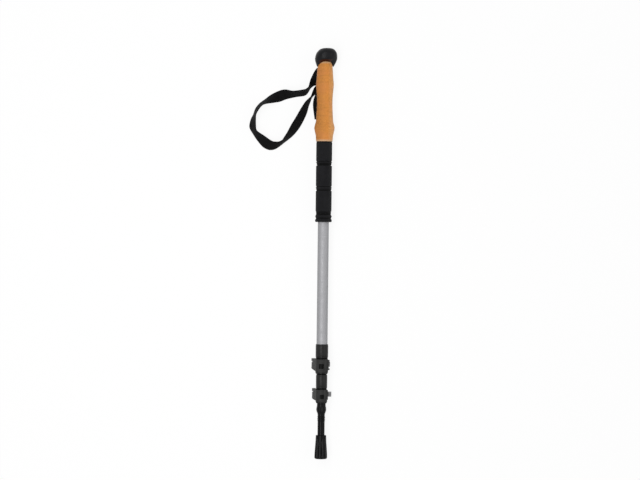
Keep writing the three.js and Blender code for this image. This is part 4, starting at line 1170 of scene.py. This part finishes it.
        def tooth(x: float, angle: float, radius: float) -> tuple[float, float, float]:
            """Sink the rim between its teeth."""
            if radius > 3.5:
                radius -= 0.45 * max(0.0, math.cos(angle * 18)) ** 0.7
            return x, radius * math.cos(angle), radius * math.sin(angle)

        wheel = reshaped(turned(outline, 108, closed=True), tooth)
        return across(wheel, self.bolt_x, self.bolt_z)


@dataclass
class FoamGrip(SubAssembly):
    """The grooved foam extension and the beaded ring under it."""

    start: float = 400.05
    end: float = 517.5
    radius: float = 13.0
    neck_radius: float = 12.3
    neck_end: float = 405.05
    bore: float = 9.15
    ring_start: float = 386.9
    ring_length: float = 13.0
    grooves: tuple[tuple[float, float], ...] = ((439.98, 0.68), (481.09, 0.99))
    creases_deg: tuple[float, ...] = (38.0, 142.0, -38.0, -142.0)

    def build(self) -> None:
        """Make the foam and its end ring."""
        self.finish_piece("foam_sleeve", self.foam(), GRIP_FOAM, Role("handle", ("foam_grip",)))
        self.finish_piece("foam_ring", self.end_ring(), GRIP_FOAM, Role("handle", ("foam_end_ring",)))

    def foam(self) -> Shape:
        """Turn the foam with its double-lined grooves, then press its lengthwise creases."""
        points = [(self.start, self.bore), (self.start, self.neck_radius - 0.5),
                  (self.start + 0.4, self.neck_radius - 0.05)]
        points += [(self.start + 1.2 + i * 0.9, self.neck_radius) for i in range(3)]
        points += [(self.neck_end - 0.7, self.neck_radius + 0.15), (self.neck_end - 0.2, self.radius - 0.2),
                   (self.neck_end + 0.5, self.radius)]
        place = self.neck_end + 0.5
        for x, depth in self.grooves:
            points += self.plain_run(place, x - 3.4)
            floor = self.radius - depth
            points += [(x - 3.0, self.radius - 0.03), (x - 2.5, self.radius - 0.3), (x - 2.1, floor),
                       (x - 1.6, floor - 0.6), (x - 1.1, floor - 0.6), (x - 0.6, floor),
                       (x - 0.1, floor + 0.2), (x + 1.2, floor + 0.2), (x + 2.0, floor + 0.3),
                       (x + 2.7, self.radius - 0.2), (x + 3.3, self.radius - 0.03), (x + 3.8, self.radius - 0.15),
                       (x + 4.2, self.radius - 0.85), (x + 5.1, self.radius - 0.9), (x + 5.6, self.radius - 0.1)]
            place = x + 6.0
        points += self.plain_run(place, self.end - 1.4)
        points += [(self.end - 0.8, self.radius - 0.08), (self.end - 0.3, self.radius - 0.4),
                   (self.end, self.radius - 0.9), (self.end, self.bore)]
        shape = reshaped(turned(points, 120, closed=True), self.press_crease)
        # The grooves, the neck and the end by the cork are marked for painted shade.
        return mark_faces(shape, "painted_shade", lambda at: max((self.radius - 0.3 - math.hypot(at.y, at.z)) / 0.5,
                                                        (at.x - self.end + 0.9) / 0.5))

    def plain_run(self, start: float, end: float) -> list[tuple[float, float]]:
        """Lay even stations along a plain stretch."""
        steps = 8
        return [(start + (end - start) * i / steps, self.radius) for i in range(steps + 1)]

    def press_crease(self, x: float, angle: float, radius: float) -> tuple[float, float, float]:
        """Sink the skin along the lengthwise creases."""
        if radius > self.neck_radius - 1 and self.neck_end < x < self.end - 1:
            away = min(abs(math.remainder(angle - math.radians(deg), FULL_TURN)) for deg in self.creases_deg)
            radius -= 0.22 * math.exp(-((away / math.radians(2.6)) ** 2))
        return x, radius * math.cos(angle), radius * math.sin(angle)

    def end_ring(self) -> Shape:
        """Turn the beaded ring."""
        shares = [(0.0, 0.96), (0.03, 1.01), (0.1, 1.043), (0.2, 1.05), (0.3, 1.03), (0.38, 0.975), (0.46, 0.95),
                  (0.53, 0.962), (0.6, 1.01), (0.7, 1.03), (0.8, 1.01), (0.88, 0.955), (0.94, 0.94), (1.0, 0.935)]
        beads = smooth_through([(self.ring_start + self.ring_length * at, self.radius * r) for at, r in shares], 64)
        shape = turned([(self.ring_start, self.bore), *beads, (self.ring_start + self.ring_length, self.bore)],
                       112, closed=True)
        # The valleys between the beads are marked for painted shade.
        return mark_faces(shape, "painted_shade", lambda at: (self.radius * 0.99 - math.hypot(at.y, at.z)) / 0.6)


CORK_START = 517.65
CORK_LENGTH = 131.5
CORK_RADIUS = 16.6
CORK_SHARES = (
    (0, 0.8), (0.037, 0.831), (0.074, 0.849), (0.111, 0.91), (0.149, 0.979), (0.18, 1), (0.223, 0.922),
    (0.26, 0.852), (0.373, 0.795), (0.485, 0.765), (0.597, 0.801), (0.708, 0.873), (0.783, 0.825),
    (0.895, 0.759), (0.942, 0.723), (0.985, 0.65), (1, 0.57))


def cork_radius(x: float) -> float:
    """Give the turned radius of the cork at a station."""
    share = min(1.0, max(0.0, (x - CORK_START) / CORK_LENGTH))
    for (low, first), (high, second) in zip(CORK_SHARES, CORK_SHARES[1:]):
        if share <= high:
            return CORK_RADIUS * (first + (second - first) * (share - low) / (high - low))
    return CORK_RADIUS * CORK_SHARES[-1][1]


def strap_slot() -> tuple[Shape, Shape]:
    """Make the two cutters for the strap's slot and the wedge's seat."""
    low = GROUND_Z - OVERRUN
    return (block((SLOT_X - SLOT_HALF_LENGTH, -SLOT_HALF_WIDTH, low),
                  (SLOT_X + SLOT_HALF_LENGTH, SLOT_HALF_WIDTH, SLOT_HALF_LENGTH + PIN_Z)),
            block((WEDGE_START, -SLOT_HALF_WIDTH, low), (SLOT_X, SLOT_HALF_WIDTH, WEDGE_TOP)))


@dataclass
class CorkGrip(SubAssembly):
    """The cork handle, which swells towards the fingers."""

    front: float = 0.1
    bore: float = 9.15
    neck_bore: float = 9.35
    tube_end: float = 629.15

    def build(self) -> None:
        """Make the cork handle."""
        self.finish_piece("cork_handle", self.handle(), GRIP_CORK, Role("handle", ("cork_grip",)))

    def handle(self) -> Shape:
        """Turn the cork, lift its finger side and cut the strap's slot."""
        end = CORK_START + CORK_LENGTH
        rows = [(CORK_START + CORK_LENGTH * at, CORK_RADIUS * r) for at, r in CORK_SHARES]
        skin = smooth_through(rows, 128)[2:-1]
        rim = [(CORK_START, skin[0][1] - 1.0), (CORK_START + 0.25, skin[0][1] - 0.45),
               (CORK_START + 0.95, skin[0][1] - 0.3)]
        outline = [(CORK_START, self.bore), *rim, *skin, (end, self.neck_bore + 0.1), (end, self.neck_bore),
                   (self.tube_end, self.neck_bore), (self.tube_end, self.bore)]
        shape = reshaped(turned(outline, 112, closed=True), self.lift_front)
        for tool in strap_slot():
            shape = carved(shape, tool, Carving.CUT)
        # The cork's lower rim is marked for a painted shadow.
        return mark_faces(shape, "painted_shade", lambda at: float(at.x < CORK_START + 1.05))

    def lift_front(self, x: float, angle: float, radius: float) -> tuple[float, float, float]:
        """Swell the finger side, and leave the bore round."""
        y, z = radius * math.cos(angle), radius * math.sin(angle)
        if radius < self.neck_bore + 0.01 and not (x > 640 and radius > self.neck_bore):
            return x, y, z
        lift = self.front / 2
        return x, y, z * (1 + lift) + radius * lift


@dataclass
class Head(SubAssembly):
    """The domed head that leans to one side, with a wavy rim, a hollow round the cork and a stem."""

    radius: float = 18.15
    rim: float = 640.5
    rim_rise: float = 7.9
    top: float = 671.2
    lean: float = 2.9
    rim_offset: float = 0.2
    front: float = 0.05
    hollow_gap: float = 0.5
    neck_top: float = 649.45
    brow: float = 0.16
    brow_depth: float = 2.1
    dome: Outline = (
        (0, 0.735), (0.07, 0.793), (0.175, 0.876), (0.28, 0.945), (0.39, 0.993), (0.47, 1), (0.6, 0.975),
        (0.71, 0.925), (0.79, 0.85), (0.865, 0.755), (0.925, 0.645), (0.97, 0.48), (0.99, 0.33), (1, 0.0))

    def build(self) -> None:
        """Make the head."""
        self.finish_piece("domed_head", self.cap(), HEAD_RUBBER, Role("handle", ("head_cap",)))

    def rim_at(self, angle: float) -> float:
        """Give the station of the wavy rim at an angle."""
        side = math.cos(angle)
        return self.rim + self.rim_rise * (1 - (side**2.4 if side > 0 else side**12))

    def place(self, x: float, angle: float, radius: float) -> tuple[float, float, float]:
        """Bend the turned outline into the head: below 0 is the hollow, above 0 the dome."""
        rim = self.rim_at(angle)
        rising = max(0.0, math.sin(angle))
        if x < 0:
            station = rim - 0.2 + (self.neck_top - rim + 0.2) * -x
            if radius > 0.01:
                reach = cork_radius(station) * (1 + 0.1 * rising) + self.hollow_gap
                radius = reach * radius
            return station, radius * math.cos(angle), radius * math.sin(angle)
        station = rim + (self.top - rim) * x
        full = radius * self.radius * (1 + self.front * rising)
        if x < self.brow:
            full -= self.brow_depth * (1 - x / self.brow) * min(1.0, max(0.0, rising * 2.4 - 1.2))
        y = full * math.cos(angle) - self.rim_offset - self.lean * x
        z = full * math.sin(angle)
        return self.dimple(station, y, z)

    def dimple(self, x: float, y: float, z: float) -> tuple[float, float, float]:
        """Press a shallow thumb rest into the finger side of the dome."""
        away = math.hypot((x - 659.5) / 8.0, (y + 1.5) / 9.0)
        if z > 8 and away < 1:
            z -= 0.7 * (1 - away * away) ** 2
        return x, y, z

    def cap(self) -> Shape:
        """Make the dome with its hollow, and the neck and stem below it."""
        outline = [(-1.0, 0.0), *[(-1.0 + 0.125 * i, 1.0) for i in range(8)], (-0.04, 1.0)]
        outline += [(0.0, 0.715), *smooth_through(self.dome, 72)[1:]]
        shape = reshaped(turned(outline, 120), self.place)
        bmesh.ops.recalc_face_normals(shape, faces=shape.faces)
        stem = turned([(611.15, 0), (611.15, 7.7), (611.45, 8.05), (629.3, 8.05), (629.3, 9.2), (650.5, 9.2),
                       (650.5, 0)], 64)
        shape = carved(shape, stem, Carving.JOIN)
        for tool in strap_slot():
            shape = carved(shape, tool, Carving.CUT)
        shape = carved(shape, across(rod(-9.0, 9.0, 1.72, 24), SLOT_X, PIN_Z), Carving.CUT)
        # The band along the rim over the cork gets painted shade.
        return mark_faces(shape, "painted_shade", self.rim_shade_share)

    def rim_shade_share(self, at: Vector) -> float:
        """Say how far a place lies in the band of painted shade, tinted as a reflection of the cork, that follows the
        rim over the cork.
        """
        angle = math.atan2(at.z, at.y + self.rim_offset)
        inside = (self.rim_at(angle) + self.brow * (self.top - self.rim_at(angle)) - at.x) / 0.8
        return min(1.0, max(0.0, inside)) * min(1.0, max(0.0, (math.sin(angle) - 0.66) * 7))


# Stations round the wrist loop: outer edge down and out, inner edge down and out, slope at each edge in
# right angles, and how many layers of webbing it lies on. Distances are shares of the loop's length
STRAP_ROWS = (
    (0.034, 0.11, 0.034, -0.042, 0, 0, 2), (0.058, 0.13, 0.058, -0.025, 0, 0, 2),
    (0.082, 0.146, 0.082, -0.009, 0, 0, 2), (0.115, 0.163, 0.155, 0.012, 0, 0, 2),
    (0.183, 0.193, 0.25, 0.074, -0.12, 0, 2), (0.254, 0.208, 0.279, 0.152, -0.72, -0.5, 1.9),
    (0.298, 0.219, 0.318, 0.201, -0.87, -0.82, 0.4), (0.328, 0.248, 0.366, 0.228, -0.85, -0.8, 0),
    (0.342, 0.29, 0.412, 0.274, -0.7, -0.65, 0), (0.361, 0.434, 0.433, 0.397, -0.6, -0.6, 0),
    (0.34, 0.536, 0.464, 0.52, -0.35, -0.35, 0), (0.349, 0.615, 0.501, 0.613, 0.12, -0.2, 0),
    (0.409, 0.734, 0.525, 0.712, 0.75, 0.15, 0), (0.466, 0.807, 0.535, 0.786, 0.75, 0.62, 0),
    (0.526, 0.887, 0.556, 0.846, 0.82, 0.82, 0), (0.598, 0.944, 0.607, 0.892, 0.83, 0.84, 0),
    (0.68, 0.973, 0.682, 0.933, 0.87, 0.86, 0), (0.747, 1.006, 0.753, 0.939, 0.7, 0.78, 0),
    (0.826, 1.024, 0.835, 0.937, 0.55, 0.7, 0), (0.877, 1.016, 0.892, 0.93, 0.55, 0.68, 0),
    (0.96, 0.965, 0.929, 0.896, 0.8, 0.6, 0), (1.042, 0.909, 0.971, 0.826, 0.55, 0.42, 0),
    (1.12, 0.841, 1.015, 0.76, 0.4, 0.25, 0), (1.156, 0.776, 1.045, 0.709, 0.38, 0.28, 0),
    (1.162, 0.723, 1.053, 0.671, 0.42, 0.42, 0), (1.147, 0.669, 1.052, 0.617, 0.57, 0.43, 0),
    (1.11, 0.612, 1.03, 0.572, 0.75, 0.45, 0), (1.064, 0.555, 1.007, 0.555, 0.88, 0.5, 0),
    (0.978, 0.448, 0.919, 0.503, 0.8, 0.3, 0), (0.891, 0.369, 0.822, 0.456, 0.6, 0.15, 0),
    (0.803, 0.313, 0.729, 0.398, 0.45, 0.4, 0), (0.717, 0.271, 0.644, 0.349, 0.5, 0.5, 0),
    (0.644, 0.242, 0.577, 0.309, 0.6, 0.6, 0), (0.558, 0.221, 0.508, 0.262, 0.75, 0.75, 0),
    (0.498, 0.199, 0.468, 0.222, 0.88, 0.85, 0), (0.442, 0.178, 0.433, 0.188, 0.92, 0.92, 0),
    (0.404, 0.142, 0.379, 0.168, 0.8, 0.85, 0.7), (0.367, 0.079, 0.322, 0.147, 0.35, 0.75, 1),
    (0.313, 0.005, 0.267, 0.122, 0, 0.03, 1), (0.225, -0.042, 0.175, 0.096, 0, 0, 1),
    (0.082, -0.07, 0.082, 0.08, 0, 0, 1), (0.034, -0.073, 0.034, 0.077, 0, 0, 1))


@dataclass
class WristStrap(SubAssembly):
    """The webbing: a loop that lies on the table, and its tail that goes round the pin in the head."""

    width: float = 18.0
    thickness: float = 1.2
    table_gap: float = 0.1
    layer_gap: float = 0.15
    loop: float = 120.0
    turn: float = 2.45
    bend: float = 1.8
    tail_length: float = 88.0
    across_steps: int = 8
    along_steps: int = 210
    tail_shifts: Outline = (
        (0, 0.41), (0.12, 0.5), (0.25, 0.575), (0.34, 0.53), (0.43, 0.38), (0.6, 0.16), (0.75, 0.04),
        (0.86, 0), (0.96, 0))

    def build(self) -> None:
        """Make the loop, which stays where it is laid, and the tail, which rides on the handle."""
        sections = [self.loop_section(i / self.along_steps) for i in range(self.along_steps + 1)]
        loop = self.ribbon("wrist_loop", sections, Role("strap_loop", ("wrist_strap",)), rides=False)
        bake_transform(loop)
        self.ribbon("webbing_tail", self.tail_sections(), Role("handle", ("strap_tail",)), rides=True)

    def layer_z(self, layers: float) -> float:
        """Give the height of the middle of webbing that lies on a number of layers."""
        return GROUND_Z + self.table_gap + self.thickness / 2 + layers * (self.thickness + self.layer_gap)

    def loop_section(self, share: float) -> list[Vector]:
        """Lay points across the loop's width.

        Args:
            share: How far round the loop, from 0 to 1.

        Returns:
            The points from the outer edge to the inner edge.
        """
        out_down, out_side, in_down, in_side, out_slope, in_slope, layers = read_rows(STRAP_ROWS, share)
        outer = Vector((SLOT_X - out_down * self.loop, out_side * self.loop))
        reach = Vector((SLOT_X - in_down * self.loop, in_side * self.loop)) - outer
        heading = reach.normalized()
        count = self.across_steps
        slopes = [(out_slope + (in_slope - out_slope) * (i + 0.5) / count) * math.pi / 2 for i in range(count)]
        run = sum(math.cos(slope) for slope in slopes)
        flat, rise = [0.0], [0.0]
        for slope in slopes:
            flat.append(flat[-1] + reach.length * math.cos(slope) / run)
            rise.append(rise[-1] + self.width / count * math.sin(slope))
        base = self.layer_z(max(0.0, layers)) - min(rise)
        return [Vector((*(outer + heading * d), base + h)) for d, h in zip(flat, rise)]

    def tail_sections(self) -> list[list[Vector]]:
        """Lay the tail: along the table, up into the slot, over the pin and down again.

        Returns:
            Sections of points across its width.
        """
        near, far = SLOT_X - self.turn, SLOT_X + self.turn
        start = far - self.bend
        path = []
        for i in range(33):
            at, shift = read_rows(self.tail_shifts, i / 32)
            path.append(Vector((start - self.tail_length * (1 - at), self.width * shift, self.layer_z(0))))
        path += self.arc(start, self.layer_z(0) + self.bend, self.bend, -90, 0)
        path += self.arc(SLOT_X, PIN_Z, self.turn, 0, 180)
        path += self.arc(near - self.bend, self.layer_z(2) + self.bend, self.bend, 0, -90)
        sections = []
        for i, point in enumerate(path):
            heading = (path[min(i + 1, len(path) - 1)] - path[max(i - 1, 0)]).normalized()
            side = Vector((-heading.y, math.hypot(heading.x, heading.z), 0)).normalized()
            half = self.width / 2
            sections.append([point + side * (half - self.width * k / self.across_steps)
                             for k in range(self.across_steps + 1)])
        return sections

    @staticmethod
    def arc(x: float, z: float, radius: float, first: float, last: float) -> list[Vector]:
        """Lay points on an arc in the plane of the pole, between two angles in degrees."""
        steps = 12
        angles = [math.radians(first + (last - first) * i / steps) for i in range(steps + 1)]
        return [Vector((x + radius * math.cos(a), 0, z + radius * math.sin(a))) for a in angles]

    def ribbon(self, name: str, sections: list[list[Vector]], role: Role, rides: bool) -> bpy.types.Object:
        """Bend a flat grid into a band of webbing and give it its thickness.

        Args:
            name: The piece's name.
            sections: Points across its width, station by station.
            role: Its body and solid.
            rides: Whether it rides on its body.

        Returns:
            The finished webbing.
        """
        rows, columns = len(sections), len(sections[0])
        shape = bmesh.new()
        bmesh.ops.create_grid(shape, x_segments=columns - 1, y_segments=rows - 1, size=0.5)
        weave = shape.loops.layers.uv.new("weave")
        lengths = [0.0]
        for before, after in zip(sections, sections[1:]):
            middle = (after[columns // 2] - before[columns // 2]).length
            lengths.append(lengths[-1] + middle)
        spots = {}
        for vert in shape.verts:
            column = round((vert.co.x + 0.5) * (columns - 1))
            row = round((vert.co.y + 0.5) * (rows - 1))
            spots[vert] = (column, row)
        for face in shape.faces:
            for loop in face.loops:
                column, row = spots[loop.vert]
                loop[weave].uv = (column / (columns - 1), lengths[row] / self.width)
        for vert, (column, row) in spots.items():
            vert.co = sections[row][column]
        shape.normal_update()
        for vert in shape.verts:
            vert.co += vert.normal * self.thickness / 2
        walls = bmesh.ops.solidify(shape, geom=shape.faces, thickness=self.thickness)
        bmesh.ops.recalc_face_normals(shape, faces=shape.faces)
        piece = self.finish_piece(name, shape, WEBBING, role, rides=rides)
        LOG.info("%s: %.0f mm long, %d faces added by its thickness", name, lengths[-1], len(walls["geom"]))
        return piece


# ---------------------------------------------------------------- carried-over solids, studio and camera

def dress_solids() -> None:
    """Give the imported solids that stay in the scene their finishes."""
    for node, finish in (
            ("lower_tube_plug", INNER_PLASTIC), ("middle_tube_plug", INNER_PLASTIC),
            ("strap_pin", SMALL_STEEL), ("strap_wedge", INNER_PLASTIC)):
        mesh = frame["nodes"][node].data
        mesh.materials.clear()
        mesh.materials.append(finish.material())


@dataclass
class Studio:
    """A pale floor, soft lights and a white surround."""

    floor_size: float = 12.0
    floor_color: tuple[float, float, float] = (0.92, 0.92, 0.92)
    lit_share: float = 0.9
    fill: float = 0.4

    def build(self) -> None:
        """Lay the floor and set the lights and the surround."""
        self.floor()
        self.light("over", (0.35, 0.45, 1.5), (2.2, 0.6), 19.5)
        self.light("side", (0.4, -1.9, 1.5), (2.4, 1.6), 10.5)
        self.surround()

    def seen_white(self, desk: NodeDesk) -> bpy.types.NodeSocket:
        """Say where the surround shows itself: to the camera, in gloss and through glass."""
        rays = desk.add("ShaderNodeLightPath")
        gloss = desk.sum_up("MAXIMUM", rays.outputs["Is Glossy Ray"], rays.outputs["Is Transmission Ray"])
        return desk.sum_up("MAXIMUM", rays.outputs["Is Camera Ray"], gloss)

    def floor(self) -> None:
        """Lay a plain floor that keeps shadows and still shows white."""
        shape = bmesh.new()
        bmesh.ops.create_grid(shape, x_segments=1, y_segments=1, size=self.floor_size / 2)
        bmesh.ops.translate(shape, verts=shape.verts, vec=(0.33, 0, (GROUND_Z - 0.06) * MM))
        mesh = bpy.data.meshes.new("floor")
        shape.to_mesh(mesh)
        shape.free()
        material = bpy.data.materials.new("table_white")
        material.use_nodes = True
        material.node_tree.nodes.clear()
        desk = NodeDesk(material.node_tree)
        matt = desk.add("ShaderNodeBsdfDiffuse", Color=(*self.floor_color, 1.0))
        glow = desk.add("ShaderNodeEmission", Color=(1, 1, 1, 1), Strength=1.0)
        share = desk.sum_up("MULTIPLY", self.seen_white(desk), self.lit_share)
        mix = desk.add("ShaderNodeMixShader", Fac=share)
        desk.link(matt.outputs[0], mix.inputs[1])
        desk.link(glow.outputs[0], mix.inputs[2])
        end = desk.add("ShaderNodeOutputMaterial")
        desk.link(mix.outputs[0], end.inputs["Surface"])
        mesh.materials.append(material)
        floor = bpy.data.objects.new("floor", mesh)
        bpy.context.scene.collection.objects.link(floor)

    def light(self, name: str, place: tuple[float, float, float], size: tuple[float, float],
              power: float) -> None:
        """Hang a soft light that faces the pole, with its long side along it.

        Args:
            name: The light's name.
            place: Where it hangs, in metres.
            size: Length along the pole and width, in metres.
            power: Its power in watts.
        """
        lamp = bpy.data.lights.new(name, "AREA")
        lamp.shape = "RECTANGLE"
        lamp.size, lamp.size_y = size
        lamp.energy = power
        obj = bpy.data.objects.new(name, lamp)
        back = (Vector(place) - Vector((place[0], 0.02, 0.0))).normalized()
        long_way = Vector((1, 0, 0))
        stand = Matrix((long_way, back.cross(long_way), back)).transposed().to_4x4()
        stand.translation = place
        obj.matrix_world = stand
        bpy.context.scene.collection.objects.link(obj)

    def surround(self) -> None:
        """Make the world a soft grey light that looks white."""
        world = bpy.data.worlds.new("surround")
        bpy.context.scene.world = world
        world.use_nodes = True
        world.node_tree.nodes.clear()
        desk = NodeDesk(world.node_tree)
        soft = desk.add("ShaderNodeBackground", Color=(1, 1, 1, 1), Strength=self.fill)
        white = desk.add("ShaderNodeBackground", Color=(1, 1, 1, 1), Strength=1.0)
        mix = desk.add("ShaderNodeMixShader", Fac=self.seen_white(desk))
        desk.link(soft.outputs[0], mix.inputs[1])
        desk.link(white.outputs[0], mix.inputs[2])
        end = desk.add("ShaderNodeOutputWorld")
        desk.link(mix.outputs[0], end.inputs["Surface"])


@dataclass
class Camera:
    """A camera straight above the pole, turned so that the pole stands in the picture."""

    height: float = 3.5
    centre: tuple[float, float] = (0.3575, 0.0052)
    half_width: float = 0.5229
    lean: float = 0.01134

    def build(self) -> None:
        """Hang the camera."""
        data = bpy.data.cameras.new("camera")
        data.sensor_width = 36.0
        data.lens = 18.0 * self.height / self.half_width
        data.clip_start = 0.05
        data.clip_end = 100.0
        turn = math.atan(self.lean)
        up = Vector((math.cos(turn), math.sin(turn), 0))
        back = Vector((0, 0, 1))
        right = up.cross(back)
        place = Matrix((right, up, back)).transposed().to_4x4()
        place.translation = (*self.centre, self.height)
        obj = bpy.data.objects.new("camera", data)
        obj.matrix_world = place
        bpy.context.scene.collection.objects.link(obj)
        bpy.context.scene.camera = obj
        bpy.context.scene.view_settings.view_transform = "Standard"


def corners(box: Sequence[Vector]) -> list[list[float]]:
    """Turn a box's corners into plain lists of numbers."""
    return [list(corner) for corner in box]


def main() -> None:
    """Build the pole, its studio and its camera, and log how many faces each piece has."""
    logging.basicConfig(level=logging.INFO, format="%(message)s")
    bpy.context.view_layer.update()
    Camera().build()
    assemblies = [
        TipAssembly(),
        TubeSet(),
        LeverLock(name="lower"),
        LeverLock(name="upper", start=138.6, clamp_length=26.9, sleeve_length=21.8, inner_tube=8.0,
                  outer_tube=9.0, ear=6.5, fin=12.9, nut_hub=1.6, nut_rim=5.4, recess=8.2, recess_shift=0.7),
        FoamGrip(),
        CorkGrip(),
        Head(),
        WristStrap(),
    ]
    for assembly in assemblies:
        assembly.build()
        for piece in assembly.made:
            LOG.info("%s: %s, %d faces", type(assembly).__name__, piece.name, len(piece.data.polygons))
    dress_solids()
    Studio().build()
    bpy.context.view_layer.update()


if __name__ == "__main__":
    main()
